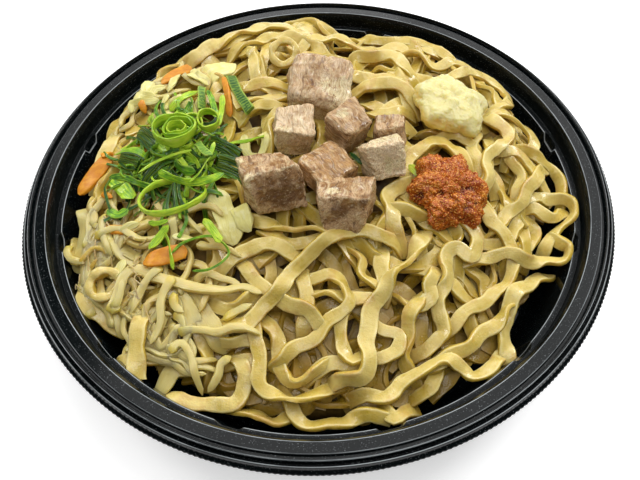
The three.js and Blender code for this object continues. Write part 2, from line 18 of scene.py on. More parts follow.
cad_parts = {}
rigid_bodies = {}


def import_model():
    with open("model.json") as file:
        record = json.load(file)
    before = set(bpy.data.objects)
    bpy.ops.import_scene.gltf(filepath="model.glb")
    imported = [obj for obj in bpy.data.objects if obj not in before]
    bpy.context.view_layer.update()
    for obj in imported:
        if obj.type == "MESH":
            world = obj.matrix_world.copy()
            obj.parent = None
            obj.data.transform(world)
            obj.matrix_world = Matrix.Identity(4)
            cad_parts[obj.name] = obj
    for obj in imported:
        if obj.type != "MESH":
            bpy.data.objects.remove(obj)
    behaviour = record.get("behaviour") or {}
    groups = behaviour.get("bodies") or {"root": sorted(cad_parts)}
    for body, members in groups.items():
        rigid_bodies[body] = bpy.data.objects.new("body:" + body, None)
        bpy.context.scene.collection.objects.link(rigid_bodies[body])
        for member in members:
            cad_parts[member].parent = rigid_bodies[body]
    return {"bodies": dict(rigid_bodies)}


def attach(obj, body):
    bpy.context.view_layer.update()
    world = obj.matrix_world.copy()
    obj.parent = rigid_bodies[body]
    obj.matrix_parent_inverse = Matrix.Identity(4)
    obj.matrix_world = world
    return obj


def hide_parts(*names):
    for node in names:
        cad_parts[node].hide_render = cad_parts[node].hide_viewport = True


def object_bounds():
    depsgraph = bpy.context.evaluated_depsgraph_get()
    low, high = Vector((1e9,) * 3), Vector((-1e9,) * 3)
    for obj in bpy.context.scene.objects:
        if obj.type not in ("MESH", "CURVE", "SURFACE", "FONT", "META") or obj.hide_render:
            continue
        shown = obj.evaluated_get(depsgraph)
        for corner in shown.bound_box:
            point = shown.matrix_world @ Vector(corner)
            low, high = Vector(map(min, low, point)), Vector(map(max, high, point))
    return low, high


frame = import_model()

bl_info = {
    "name": "Plate of mixed noodles",
    "version": (1, 0, 0),
    "blender": (4, 5, 0),
    "location": "3D View > Sidebar > Noodles",
    "description": "Makes a deep plate of mixed noodles with pork, garlic, chili paste and greens",
    "category": "Object",
}

MM = 0.001
BODY = next(iter(frame["bodies"]))
CAD_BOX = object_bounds()
PLATE_RADIUS = CAD_BOX[1].x / MM

# ------------------------------------------------------------------ driving sizes, in millimetres

SHEET = 1.1              # thickness of the formed sheet
FLANGE_HEIGHT = 33
BAND_RISE = 1.8          # from the flange to the flat top of the band inside it
BEAD_RADIUS = 110.6      # crest of the raised bead inside the flange
BEAD_RISE = 3
LEDGE_RADIUS = 100.8
LEDGE_HEIGHT = 27.7
LEDGES = 12
FLUTE_ANGLE = 12         # from the x axis to the middle of the first flute, in degrees
FLUTE_DEPTH = 1.5
FLUTE_SHARE = 0.16       # of a ledge's length
TOOTH_DEPTH = 0.28       # of the knurled edge
FLOOR_RADIUS = 90.5
PAINTED_GLINT_RADII = (101, 105.2, 109, 111.3, 112.9)   # radii of the rim's ridges, where pale lines are painted as their highlights

CROWN = 47               # height of the heap at its middle
HEAP_DROP = 17           # how far it has fallen at HEAP_REACH
HEAP_REACH = 95
HEAP_POWER = 2.2
HEAP_LEAN = 0.085        # the heap is higher at the back
CORE_DEPTH = 13          # the hidden middle of the heap lies this far under its surface
CORE_RADIUS = 88

NOODLE_WIDTH = 6
NOODLE_THICKNESS = 1.9
LINE_SHIFT = 41          # between one strip's markings and the next one's
SHARP_ANGLE = 50         # an edge that turns by more than this stays sharp, in degrees


def heap_top(x, y):
    """Height of the heap's surface."""
    return CROWN - HEAP_DROP * (np.hypot(x, y) / HEAP_REACH) ** HEAP_POWER + HEAP_LEAN * y


def wall_height(radius):
    """Height of the plate's inside at a radius."""
    radii = [0, FLOOR_RADIUS + 2.2, LEDGE_RADIUS, LEDGE_RADIUS + 1.7, BEAD_RADIUS - 6.4, PLATE_RADIUS]
    heights = [SHEET, SHEET + 2.4, LEDGE_HEIGHT, LEDGE_HEIGHT + 1.5, FLANGE_HEIGHT, FLANGE_HEIGHT + 2]
    return np.interp(radius, radii, heights)


# ------------------------------------------------------------------ node trees


class Socket:
    """A node's output. An expression on sockets adds the Math nodes that work it out."""

    def __init__(self, board, output):
        self.board = board
        self.output = output

    def _math(self, operation, *values):
        return self.board.node("ShaderNodeMath", {"operation": operation}, dict(enumerate(values)))

    def __add__(self, other):
        return self._math("ADD", self, other)

    __radd__ = __add__

    def __sub__(self, other):
        return self._math("SUBTRACT", self, other)

    def __rsub__(self, other):
        return self._math("SUBTRACT", other, self)

    def __mul__(self, other):
        return self._math("MULTIPLY", self, other)

    __rmul__ = __mul__

    def __truediv__(self, other):
        return self._math("DIVIDE", self, other)

    def __pow__(self, other):
        return self._math("POWER", self, other)

    def __mod__(self, other):
        return self._math("FLOORED_MODULO", self, other)

    def __abs__(self):
        return self._math("ABSOLUTE", self)

    def function(self, operation, *others):
        """Any other Math operation, such as SINE or FLOOR."""
        return self._math(operation, self, *others)

    def between(self, low, high):
        """0 at low, 1 at high, smooth between them and flat past them."""
        return self.board.node("ShaderNodeMapRange", {"interpolation_type": "SMOOTHSTEP"},
                               {"Value": self, "From Min": low, "From Max": high})


class Board:
    """Adds nodes to a node tree."""

    def __init__(self, tree):
        self.tree = tree

    def node(self, kind, settings=None, values=None, out=0):
        """Makes one node: its settings first, then the values or links of its sockets."""
        node = self.tree.nodes.new(kind)
        for key, value in (settings or {}).items():
            if key == "stops":
                self._colour_stops(node.color_ramp, value)
            else:
                setattr(node, key, value)
        for key, value in (values or {}).items():
            target = self._socket(node.inputs, key)
            for one in value if isinstance(value, list) else [value]:
                if isinstance(one, Socket):
                    self.tree.links.new(one.output, target)
                else:
                    target.default_value = one
        return Socket(self, self._socket(node.outputs, out))

    def _socket(self, sockets, key):
        """A socket by its place, or by its identifier."""
        if isinstance(key, int):
            return sockets[key]
        return next(one for one in sockets if one.identifier == key)

    def _colour_stops(self, ramp, stops):
        while len(ramp.elements) < len(stops):
            ramp.elements.new(1)
        for element, (place, colour) in zip(ramp.elements, stops):
            element.position = place
            element.color = (*colour[:3], 1)

    def vector(self, operation, *values):
        """A Vector Math node."""
        return self.node("ShaderNodeVectorMath", {"operation": operation}, dict(enumerate(values)))

    def xyz(self, x=0.0, y=0.0, z=0.0):
        return self.node("ShaderNodeCombineXYZ", values={0: x, 1: y, 2: z})


class Finish(Board):
    """A material of one Principled shader, built from expressions."""

    def __init__(self, name, **constants):
        self.material = bpy.data.materials.new(name)
        self.material.use_nodes = True
        super().__init__(self.material.node_tree)
        self.shader = self.tree.nodes["Principled BSDF"]
        for key, value in constants.items():
            self.shader.inputs[key.replace("_", " ").title().replace("Ior", "IOR")].default_value = value

    def attribute(self, name, out="Fac"):
        """One of the mesh's own values."""
        return self.node("ShaderNodeAttribute", {"attribute_name": name}, out=out)

    def place(self):
        """Object coordinates, in millimetres."""
        where = self.node("ShaderNodeTexCoord", out="Object")
        return self.stretched(where, (1 / MM, 1 / MM, 1 / MM))

    def on_strip(self):
        """The place on a strip, in millimetres: along it, across it and through it."""
        return self.xyz(self.attribute("along"), self.attribute("across") * 3, self.attribute("rise") * 1.2)

    def stretched(self, vector, scales):
        return self.vector("MULTIPLY", vector, scales)

    def noise(self, vector, size, detail=3.0, roughness=0.55, distortion=0.0):
        """Noise from 0 to 1 whose lumps are about size units across."""
        return self.node("ShaderNodeTexNoise", None, {"Vector": vector, "Scale": 1 / size, "Detail": detail,
                                                      "Roughness": roughness, "Distortion": distortion})

    def mix(self, share, first, second, blend="MIX"):
        """A blend of two colours."""
        first, second = (one if isinstance(one, Socket) else (*one[:3], 1) for one in (first, second))
        return self.node("ShaderNodeMix", {"data_type": "RGBA", "blend_type": blend},
                         {0: share, 6: first, 7: second}, out=2)

    def ramp(self, share, stops):
        return self.node("ShaderNodeValToRGB", {"stops": stops}, {"Fac": share})

    def bump(self, height, depth, strength=1.0):
        """A normal from a height from 0 to 1 that stands for depth millimetres."""
        return self.node("ShaderNodeBump", None,
                         {"Height": height, "Distance": depth * MM, "Strength": strength})

    def wire(self, **links):
        """Links values to the shader and returns the material."""
        for key, value in links.items():
            target = self.shader.inputs[key.replace("_", " ").title()]
            self.tree.links.new(value.output, target)
        return self.material


class Maker(Board):
    """A Geometry Nodes tree with named inputs. It ends in Realize Instances and Set Material."""

    KINDS = {float: "NodeSocketFloat", int: "NodeSocketInt", bpy.types.Material: "NodeSocketMaterial"}

    def __init__(self, name, inputs):
        super().__init__(bpy.data.node_groups.new(name, "GeometryNodeTree"))
        interface = self.tree.interface
        interface.new_socket("Geometry", in_out="INPUT", socket_type="NodeSocketGeometry")
        interface.new_socket("Geometry", in_out="OUTPUT", socket_type="NodeSocketGeometry")
        self.identifiers = {}
        for label, kind in {**inputs, "Material": bpy.types.Material}.items():
            socket = interface.new_socket(label, in_out="INPUT", socket_type=self.KINDS[kind])
            self.identifiers[label] = socket.identifier
        self.entry = self.tree.nodes.new("NodeGroupInput")
        self.geometry = self.input("Geometry")

    def input(self, label):
        """One of the tree's named inputs."""
        return Socket(self, self.entry.outputs[label])

    def named(self, name, kind="FLOAT"):
        """An attribute of the geometry that is being worked on."""
        return self.node("GeometryNodeInputNamedAttribute", {"data_type": kind}, {"Name": name})

    def stored(self, geometry, name, value, domain="POINT", kind="FLOAT"):
        return self.node("GeometryNodeStoreNamedAttribute", {"data_type": kind, "domain": domain},
                         {"Geometry": geometry, "Name": name, "Value": value})

    def random(self, low, high, seed):
        return self.node("FunctionNodeRandomValue", {"data_type": "FLOAT"},
                         {"Min_001": low, "Max_001": high, "Seed": seed}, out="Value_001")

    def rippled(self, geometry, size, reach):
        """Moves every point up to about reach metres by a noise of the given lump size in metres."""
        shift = self.node("ShaderNodeTexNoise", None, {"Scale": 1 / size, "Detail": 2.0}, out="Color")
        centred = self.vector("SUBTRACT", shift, (0.5, 0.5, 0.5))
        offset = self.node("ShaderNodeVectorMath", {"operation": "SCALE"}, {0: centred, "Scale": reach * 2})
        return self.node("GeometryNodeSetPosition", None, {"Geometry": geometry, "Offset": offset})

    def finished(self, geometry):
        """Ends the tree with this geometry."""
        smooth = self.node("GeometryNodeSetShadeSmooth", None, {"Geometry": geometry})
        realized = self.node("GeometryNodeRealizeInstances", None, {"Geometry": smooth})
        painted = self.node("GeometryNodeSetMaterial", None,
                            {"Geometry": realized, "Material": self.input("Material")})
        leaving = self.tree.nodes.new("NodeGroupOutput")
        self.tree.links.new(painted.output, leaving.inputs["Geometry"])
        return self

    def run(self, name, mesh, **values):
        """Runs the tree on a mesh and returns the result as a plain mesh object at the origin."""
        source = add_object(name + "_source", mesh)
        modifier = source.modifiers.new(name, "NODES")
        modifier.node_group = self.tree
        for label, value in values.items():
            modifier[self.identifiers[label.replace("_", " ").title()]] = value
        depsgraph = bpy.context.evaluated_depsgraph_get()
        plain = bpy.data.meshes.new_from_object(source.evaluated_get(depsgraph),
                                                preserve_all_data_layers=True, depsgraph=depsgraph)
        bpy.data.objects.remove(source)
        plain.name = name
        return add_object(name, plain)


# ------------------------------------------------------------------ mesh tools


def add_object(name, mesh):
    """An object at the origin, in the scene."""
    made = bpy.data.objects.new(name, mesh)
    bpy.context.scene.collection.objects.link(made)
    return made


def finish_piece(piece, nodes=()):
    """Turns the faces out, keeps the sharp edges sharp, and hands the piece to the frame."""
    work = bmesh.new()
    work.from_mesh(piece.data)
    bmesh.ops.recalc_face_normals(work, faces=work.faces)
    work.to_mesh(piece.data)
    work.free()
    piece.data.set_sharp_from_angle(angle=math.radians(SHARP_ANGLE))
    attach(piece, BODY)
    if nodes:
        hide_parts(*nodes)


def line_mesh(name, lines):
    """A mesh of open or closed lines. Each point keeps its side direction, size and tone."""
    points, edges = [], []
    for line in lines:
        first, count = len(points), len(line.points)
        points += (line.points * MM).tolist()
        edges += [(first + i, first + i + 1) for i in range(count - 1)]
        if line.closed:
            edges.append((first + count - 1, first))
    mesh = bpy.data.meshes.new(name)
    mesh.from_pydata(points, edges, [])
    for label, kind, field in (("side", "FLOAT_VECTOR", "vector"), ("size", "FLOAT", "value"),
                               ("tone", "FLOAT", "value"), ("flat", "FLOAT", "value")):
        values = np.concatenate([getattr(line, label) for line in lines]).astype(np.float32)
        mesh.attributes.new(label, kind, "POINT").data.foreach_set(field, values.ravel())
    x, y, z = np.concatenate([line.points for line in lines]).T
    along = np.concatenate([walked_along(line.points) + LINE_SHIFT * number
                            for number, line in enumerate(lines)])
    for label, values in (("depth", heap_top(x, y) - z), ("along", along)):
        mesh.attributes.new(label, "FLOAT", "POINT").data.foreach_set("value", values.astype(np.float32))
    return mesh


def walked_along(points):
    """The distance walked to each point of a line."""
    return np.concatenate([[0], np.cumsum(np.linalg.norm(np.diff(points, axis=0), axis=1))])


def solid_mesh(name, points, faces, **fields):
    """A mesh from points in millimetres, with one number or vector for each point in each field."""
    mesh = bpy.data.meshes.new(name)
    mesh.from_pydata((np.asarray(points) * MM).tolist(), [], faces)
    for label, values in fields.items():
        values = np.asarray(values, np.float32)
        is_vector = values.ndim == 2
        attribute = mesh.attributes.new(label, "FLOAT_VECTOR" if is_vector else "FLOAT", "POINT")
        attribute.data.foreach_set("vector" if is_vector else "value", values.ravel())
    for polygon in mesh.polygons:
        polygon.use_smooth = True
    return mesh


def lumps(points, size, seed=0):
    """Noise from -1 to 1 at each point, whose lumps are about size across."""
    shift = Vector((seed * 3.7, seed * 1.3, seed * 7.1))
    return np.array([noise.noise(Vector(point) / size + shift) for point in points])


# ------------------------------------------------------------------ laying things on the heap

CELL = 1.0
CELLS = 216
STEP = 1.3               # between the sections of a strip
END_RUN = 4              # how much a noodle whose ends sink in is lengthened at both ends
DIVE_LENGTH = 10         # over which such an end sinks in
FLIP_REACH = 8           # on both sides of a place where a noodle turns on edge
SAG_ROUNDS = 36          # in which a strip is drawn straight over the gaps below it


class HeightMap:
    """The height of what is already laid, on a square grid."""

    def __init__(self, height_at):
        steps = (np.arange(CELLS) - CELLS / 2) * CELL
        x, y = np.meshgrid(steps, steps)
        self.z = height_at(x, y)

    def _slots(self, x, y):
        column, row = (np.clip(np.rint(v / CELL + CELLS / 2), 0, CELLS - 1).astype(int) for v in (x, y))
        return row, column

    def at(self, x, y):
        """The height at places."""
        return self.z[self._slots(x, y)]

    def raise_to(self, x, y, height):
        """Raises the places that are lower than a height to it."""
        np.maximum.at(self.z, self._slots(x, y), height)


def route(stops):
    """Points about one step apart on a smooth line through the [x, y] stops."""
    stops = np.array(stops, float)
    ends = np.vstack([2 * stops[0] - stops[1], stops, 2 * stops[-1] - stops[-2]])
    line = []
    for a, b, c, d in zip(ends, ends[1:], ends[2:], ends[3:]):
        t1 = math.sqrt(math.dist(a, b))
        t2 = t1 + math.sqrt(math.dist(b, c))
        t3 = t2 + math.sqrt(math.dist(c, d))
        for t in np.linspace(t1, t2, 12, endpoint=False):
            ab = a + (b - a) * t / t1
            bc = b + (c - b) * (t - t1) / (t2 - t1)
            cd = c + (d - c) * (t - t2) / (t3 - t2)
            abc = ab + (bc - ab) * t / t2
            bcd = bc + (cd - bc) * (t - t1) / (t3 - t1)
            line.append(abc + (bcd - abc) * (t - t1) / (t2 - t1))
    line = np.array([*line, stops[-1]])
    walked = walked_along(line)
    count = max(4, round(walked[-1] / STEP) + 1)
    even = np.linspace(0, walked[-1], count)
    return np.stack([np.interp(even, walked, line[:, k]) for k in (0, 1)], 1)


def softened(values, rounds):
    """Each value drawn towards its neighbours' mean, with the ends kept."""
    values = values.copy()
    for _ in range(rounds):
        values[1:-1] = values[1:-1] / 2 + (values[:-2] + values[2:]) / 4
    return values


def extended(stops, reach):
    """The stops with a straight run added at both ends."""
    stops = [np.array(stop, float) for stop in stops]
    for _ in range(2):
        ahead = stops[-1] - stops[-2]
        stops.append(stops[-1] + ahead / np.linalg.norm(ahead) * reach)
        stops.reverse()
    return stops


def lay(heap, stops, width=NOODLE_WIDTH, thickness=NOODLE_THICKNESS, lift=2.5, least=-30.0, twist=0.3,
        phase=0.0, sink=0.5, tone=0.5, flips=(), wiggle=0.0, dive=(0, 0), lean_share=0.6, sag=0.015):
    """Rests a strip on the map along its stops, adds it to the map, and returns it as a line.
    It stays between least and lift over the heap's surface. Flips are (place, turn) pairs, and dive
    is how far its first and last ends sink into the heap."""
    line = route(extended(stops, END_RUN) if dive[1] else stops)
    walked = np.arange(len(line)) * STEP
    across = crossing(line)
    sway = wiggle * np.sin(walked / 2.3 + phase) * (0.6 + 0.4 * np.sin(walked / 17 + phase * 2))
    line = line + across * sway[:, None]
    across = crossing(line)
    left, middle, right = (heap.at(*(line + across * width * share).T) for share in (-0.4, 0, 0.4))
    lean = softened(np.clip(np.arctan2(right - left, 0.8 * width), -0.8, 0.8) * lean_share, 6)
    roll = lean + twist * (0.7 * np.sin(phase + walked / 11) + 0.3 * np.sin(phase * 2.3 + walked / 5.3)
                           + 0.2 * np.sin(phase * 3.1 + walked / 1.9))
    for place, turn in flips:
        roll += turn * np.exp(-((walked - place * walked[-1]) / FLIP_REACH) ** 2)
    held = np.maximum(left, right) - 0.4 * width * np.abs(np.sin(lean))
    z = np.maximum(middle, held) + thickness / 2 - sink + 0.3 * width * np.abs(np.sin(roll - lean))
    top = heap_top(*line.T)
    z = np.clip(z, top + least, top + lift)
    for _ in range(SAG_ROUNDS):
        z[1:-1] = np.maximum(z[1:-1], (z[:-2] + z[2:]) / 2 - sag)
    z = softened(np.minimum(z, top + lift), 3)
    for depth, from_end in zip(dive, (walked, walked[-1] - walked)):
        z -= depth * np.clip(1 - from_end / DIVE_LENGTH, 0, 1) ** 2
    points = np.column_stack([line, z])
    side = np.column_stack([across * np.cos(roll)[:, None], np.sin(roll)])
    ahead = np.gradient(points, axis=0)
    ahead /= np.linalg.norm(ahead, axis=1)[:, None]
    side -= ahead * np.sum(side * ahead, axis=1)[:, None]
    side /= np.linalg.norm(side, axis=1)[:, None]
    for share in np.linspace(-0.5, 0.5, 9):
        spot = points + side * width * share
        heap.raise_to(spot[:, 0], spot[:, 1], spot[:, 2] + thickness / 2 * np.abs(np.cos(roll)))
    count = len(line)
    size = 1 + (0.06 * np.sin(phase * 3 + walked / 13) + 0.05 * np.sin(phase + walked / 3.1)
                + 0.03 * np.sin(phase * 5 + walked / 1.3) + 0.02 * np.sin(phase * 7 + walked / 0.8))
    return SimpleNamespace(points=points, side=side, size=size, closed=False, width=width,
                           tone=np.full(count, tone), flat=np.full(count, thickness / width))


def crossing(line):
    """The level unit vectors across a line, to its left."""
    ahead = np.gradient(line, axis=0)
    ahead /= np.linalg.norm(ahead, axis=1)[:, None]
    return np.stack([-ahead[:, 1], ahead[:, 0]], 1)


def tapered(line, first, last):
    """The line with its two ends narrowed to round points over the given lengths."""
    walked = walked_along(line.points)
    for reach, distance in ((first, walked), (last, walked[-1] - walked)):
        line.size = line.size * np.sqrt(1 - (1 - np.clip(distance / reach, 0.03, 1)) ** 2)
    return line


def some_flips(dice, stops, spacing, most):
    """Seeded places where a noodle turns on edge, about one in each spacing millimetres."""
    length = sum(math.dist(a, b) for a, b in zip(stops, stops[1:]))
    return [(dice.random(), dice.choice((-1, 1)) * dice.uniform(0.5, 1) * most)
            for _ in range(round(length / spacing + dice.uniform(-0.5, 0.5)))]


def wander(dice, start, heading, length, bend, reach, stride=8):
    """Stops of something that strays from a start and turns back short of a radius."""
    x, y = start
    stops, turn = [(x, y)], 0.0
    for _ in range(max(2, round(length / stride))):
        turn = 0.6 * turn + dice.uniform(-bend, bend)
        heading += turn
        ahead = (x + stride * math.cos(heading), y + stride * math.sin(heading))
        if math.hypot(*ahead) > reach:
            outward = math.atan2(y, x)
            offset = math.remainder(heading - outward, math.tau)
            heading = outward + math.copysign(1.9, offset)
        x, y = x + stride * math.cos(heading), y + stride * math.sin(heading)
        stops.append((x, y))
    return stops


# Each leading noodle's width and the stops it runs through, from the lowest to the topmost.
NOODLES = [
    (7.2, [(-87, 30), (-84, 42), (-78, 52), (-70, 59)]),
    (5.8, [(-88, -4), (-89, -14), (-87, -24)]),
    (6.2, [(-90, 8), (-88, 20), (-85, 30)]),
    (7.2, [(-70, 60), (-62, 70), (-54, 73), (-46, 70)]),
    (6.2, [(-82, -30), (-88, -38), (-86, -47), (-80, -53), (-72, -57)]),
    (6.2, [(-69, -70), (-60, -70), (-51, -69)]),
    (5.8, [(-31, -73), (-22, -73.5)]),
    (5.8, [(-37, -66), (-29, -67), (-22, -67)]),
    (6.2, [(-29, -88), (-23, -91), (-17, -92), (-11, -91)]),
    (5.8, [(-40, -53), (-30, -56), (-24, -52)]),
    (6.2, [(-6, -46), (-5, -55), (-6, -64)]),
    (5.8, [(0, -52), (9, -54), (18, -55)]),
    (6.2, [(22, -39), (23, -46), (22, -52)]),
    (6.2, [(38, -44), (46, -48), (52, -53)]),
    (6.2, [(-4, -79), (2, -76), (8, -76.5), (13, -79)]),
    (6.2, [(20, -90), (23, -94), (28, -91)]),
    (5.8, [(31, -86), (36, -85), (38, -79)]),
    (6.2, [(20, 58), (29, 59), (37, 56), (42, 48)]),
    (6.2, [(16, 48), (20, 44), (27, 42), (35, 43)]),
    (6.2, [(17, 37), (27, 39), (36, 37), (42, 31)]),
    (6.2, [(-31, 44), (-20, 43), (-9, 42)]),
    (5.8, [(-28, 36), (-19, 36), (-10, 37)]),
    (5.8, [(-26, 29), (-19, 30), (-14, 27), (-18, 18), (-18, 8)]),
    (5.4, [(-26, 68), (-25, 58), (-24, 50)]),
    (7.2, [(-36, 71), (-24, 76), (-12, 75), (-3, 70), (4, 63)]),
    (7.2, [(-56, 66), (-46, 73), (-37, 81), (-26, 85), (-14, 86), (-7, 81), (2, 75)]),
    (6.6, [(-4, 66), (4, 74), (11, 77), (19, 74), (27, 69), (35, 71), (42, 69)]),
    (5.8, [(40, 64), (48, 63), (54, 56), (62, 59), (72, 58)]),
    (5.8, [(60, 49), (69, 54), (78, 54), (84, 46), (83, 37), (76, 31)]),
    (5.8, [(72, 28), (79, 27), (86, 22), (90, 15), (87, 8)]),
    (5.4, [(84, 10), (90, 7), (96, 3), (99, -3), (97, -9)]),
    (5.8, [(74, 8), (80, 6), (86, 1), (91, -6)]),
    (5.8, [(82, -12), (90, -10.5), (97, -10.5), (100, -15), (98, -20), (92, -24), (87, -30)]),
    (5.4, [(84, -17), (90, -19), (95, -17)]),
    (6.2, [(90, 1), (85, -6), (79, -14), (72, -21), (66, -27)]),
    (5.8, [(62, -14), (66, -8), (66, 0), (71, 7), (78, 13), (77, 20), (72, 26)]),
    (5.8, [(34, -7), (36.5, 2), (41.5, 8), (49, 12), (56, 6), (59.5, -3)]),
    (6.6, [(36, -9), (30, -12), (26.5, -18), (27, -26), (29, -34)]),
    (5.8, [(30, -23), (39, -24)]),
    (6.2, [(-24, -22), (-15, -27), (-6, -29), (4, -30), (12, -31)]),
    (5.8, [(62, -18), (65, -25), (70, -32), (71, -40), (68, -47), (61, -53), (53, -58), (44, -64)]),
    (6.6, [(83, -42), (77, -47), (71, -51), (67, -57), (64, -64), (64, -72)]),
    (6.2, [(66, -58), (60, -64), (53, -69), (45, -74), (37, -77)]),
    (5.8, [(54, -40), (65, -38), (75, -39), (84, -38.5), (91, -37), (94, -33), (91, -30)]),
    (6.2, [(54, -24), (58, -32), (55, -40), (50, -36.5), (46.5, -38), (45, -48), (42, -55), (41, -61),
         (42.5, -67), (33, -72)]),
    (5.8, [(40, -48), (37.5, -51), (38.5, -55), (34, -58), (29, -55)]),
    (5.8, [(33, -57), (31, -62), (29, -68), (28, -74), (30, -79)]),
    (5.4, [(15, -73), (20, -75), (25, -73), (26, -68), (21, -65), (17, -62)]),
    (5.8, [(60, -75), (56, -79), (51, -81), (47, -78), (42, -76), (36, -78), (30, -81), (20, -87),
           (12, -86)]),
    (5.8, [(8, -59), (6.5, -66), (7, -73), (10, -76), (14, -73)]),
    (5.8, [(-13, -84), (-11, -91), (-4, -94.5), (4, -94), (11, -92), (18, -93)]),
    (5.8, [(-52, -84), (-44, -86), (-36, -87), (-29, -85), (-26, -79), (-29, -74)]),
    (5.8, [(-47, -53), (-43, -63), (-40, -69), (-40, -76)]),
    (5.8, [(-19, -61), (-15, -68), (-15, -76), (-11, -82), (-6, -81), (0, -77)]),
    (6.2, [(-24, -62), (-22, -68), (-22, -77), (-20, -84), (-13, -87), (-4, -86), (3, -83)]),
    (5.8, [(-2, -46), (4, -46.5), (9, -51), (10, -56), (5, -61), (-2, -67), (-9, -71), (-14, -74)]),
    (6.2, [(-27, -40), (-24, -45), (-14, -54), (-7, -58), (-2, -62)]),
    (6.2, [(-38, -43), (-32, -38), (-26, -35), (-19, -34), (-10, -37)]),
    (6.2, [(-37, -61), (-28, -62), (-22, -59), (-14, -51), (-8, -43), (-2, -38), (8, -33), (17, -31.5),
         (27, -35)]),
    (7.2, [(38, -31), (36, -37), (30, -44), (23, -51), (18, -59), (15, -68), (15.5, -76), (13, -82),
         (5, -82)]),
    (5.8, [(-95, -19), (-94, -26), (-90, -31), (-84, -28), (-78, -30)]),
]

# Noodles that lie in a closed loop.
NOODLE_LOOPS = [
    dict(at=(-78, -43, 2.5), radius=7, oval=0.95, tilt=(20, 0), band=3.2, deep=5, tone=0.9),
    dict(at=(-11.5, 59, 3.5), radius=6.6, tilt=(32, 0), band=3, deep=3, tone=0.8),
]

# Noodles that show between or behind the leading ones, laid just before them.
SIDE_NOODLES = [
    (4, [(-69, -61), (-68, -70)]),
    (7.5, [(-58, -62), (-56, -69)]),
    (4, [(12, -36.5), (15.5, -41), (15, -46), (19, -50), (23, -52)]),
    (4.5, [(22, -25), (20, -32)]),
    (4.5, [(27, -25), (28.5, -33)]),
    (6.5, [(-30, 70), (-26, 66), (-24, 58), (-24, 50)]),
    (5, [(-22, 62), (-22, 52)]),
    (5, [(-2, 24), (3, 19), (3, 11), (0, 6)]),
    (6, [(-19, 27), (-17.5, 18), (-18, 9)]),
    (4.5, [(22, -16), (25, -24), (22, -32)]),
    (6, [(-18, -28), (-12, -33), (-4, -33.5), (4, -31)]),
    (6.5, [(36, 52), (37, 42), (39, 31)]),
    (6.5, [(-27, 29), (-18, 31), (-9, 32)]),
    (5.5, [(66, 19), (63, 10), (64, 1), (68, -7)]),
    (5.5, [(71, 16), (69, 6), (67, -2), (64, -10)]),
    (5, [(50, 14), (57, 16), (63, 12)]),
    (5, [(76, 8), (80, -2), (78, -10)]),
]

# Short runs that close the bare patch behind the pork.
FILLING_NOODLES = [
    (5.2, [(22, 33), (29, 28), (37, 21)]),
    (4.8, [(25, 20), (30, 27), (36, 33)]),
    (4.8, [(20, 26), (28, 24), (38, 27)]),
]

# A noodle that ends in a square cut at the edge of the heap.
CUT_NOODLE = [(-61.5, -54), (-63.5, -58), (-64, -66), (-64, -78)]

# The leading sprouts, each from its head to its root.
SPROUTS = [
    dict(width=4.1, stops=[(-74, -55), (-73, -49), (-70.5, -41), (-67, -38.5), (-61, -41), (-53.5, -44.5),
                           (-46.5, -48), (-39.5, -50), (-33, -50.5), (-27, -49.5), (-20.5, -53)]),
    dict(width=2.9, stops=[(-74, -54), (-71.5, -49), (-71, -43)]),
    dict(width=2.8, stops=[(-96, -21.5), (-96, -25.5), (-93, -30), (-87.5, -33)]),
    dict(width=3, stops=[(-51.5, -71), (-50.5, -68.5), (-48, -68), (-45, -72), (-43.5, -77.5),
                         (-41.5, -83)]),
    dict(width=3, stops=[(-31.5, -72), (-35, -74), (-36, -77.5), (-39.5, -82.5)]),
    dict(width=2.9, stops=[(-34.5, -60), (-28.5, -57.5), (-24, -56)]),
    dict(width=3, stops=[(-52, -49.5), (-51, -55), (-48, -57.5)]),
    dict(width=2.9, stops=[(-82, -14), (-80, -25), (-76, -33)]),
    dict(width=2.8, stops=[(-84, -24), (-75, -22), (-66, -27), (-57, -26)]),
    dict(width=2.8, stops=[(-54, -20), (-53, -27), (-56, -34)]),
    dict(width=3, stops=[(-57, -38), (-63, -45), (-67, -55)]),
    dict(width=3, stops=[(-52, -44), (-56, -52), (-56, -60), (-59, -67)]),
    dict(width=2.4, stops=[(-71, 46), (-62, 44), (-52, 49)]),
    dict(width=2.4, stops=[(-60, 62), (-52, 52), (-45, 47)]),
]

# Thin clear slips among the sprouts.
SLIPS = [
    dict(width=8, stops=[(-90, -30), (-84, -28.5), (-77, -33)]),
    dict(width=8, stops=[(-48, -47.5), (-43, -55), (-38.5, -62), (-36, -66)]),
    dict(width=7, stops=[(-55, -44.5), (-49, -52.5), (-45, -60)]),
    dict(width=7, stops=[(-55, -79), (-51.5, -74.5), (-47, -73.5)]),
    dict(width=7, stops=[(-76, -22), (-73, -30), (-66, -34)]),
    dict(width=6, stops=[(-92, -8), (-90, -16), (-91, -24)]),
    dict(width=6, stops=[(-60, -55), (-54, -60), (-52, -66)]),
]

CARROTS = [
    dict(width=6.5, thickness=2, stops=[(-95.5, 1), (-90, 7.5), (-83, 15)], lift=3, least=0, twist=0.1),
    dict(width=4.5, thickness=1.6, stops=[(-65, 52), (-58.5, 57), (-52, 58.5)], twist=0.5),
    dict(width=2.8, thickness=1.4, stops=[(-37.5, 51), (-35.5, 40), (-34.5, 30)], lift=4),
    dict(width=6, thickness=1.8, stops=[(-64, -37), (-56, -35.5), (-48, -33)], twist=0.6, lift=3),
    dict(width=3.4, thickness=2, stops=[(-81, -20), (-71, -23.5)], lift=2),
]

# Small loose bits of carrot: one end, the other end and the width.
CARROT_BITS = [
    ((-72, 23), (-68, 16.5), 4), ((-56, 20), (-52, 22), 3.4), ((-73.5, 43), (-71, 38), 3),
    ((-84, -4), (-79, -7), 2.6), ((-60, 27), (-55, 31), 3), ((-86, 14), (-84, 20), 3),
]

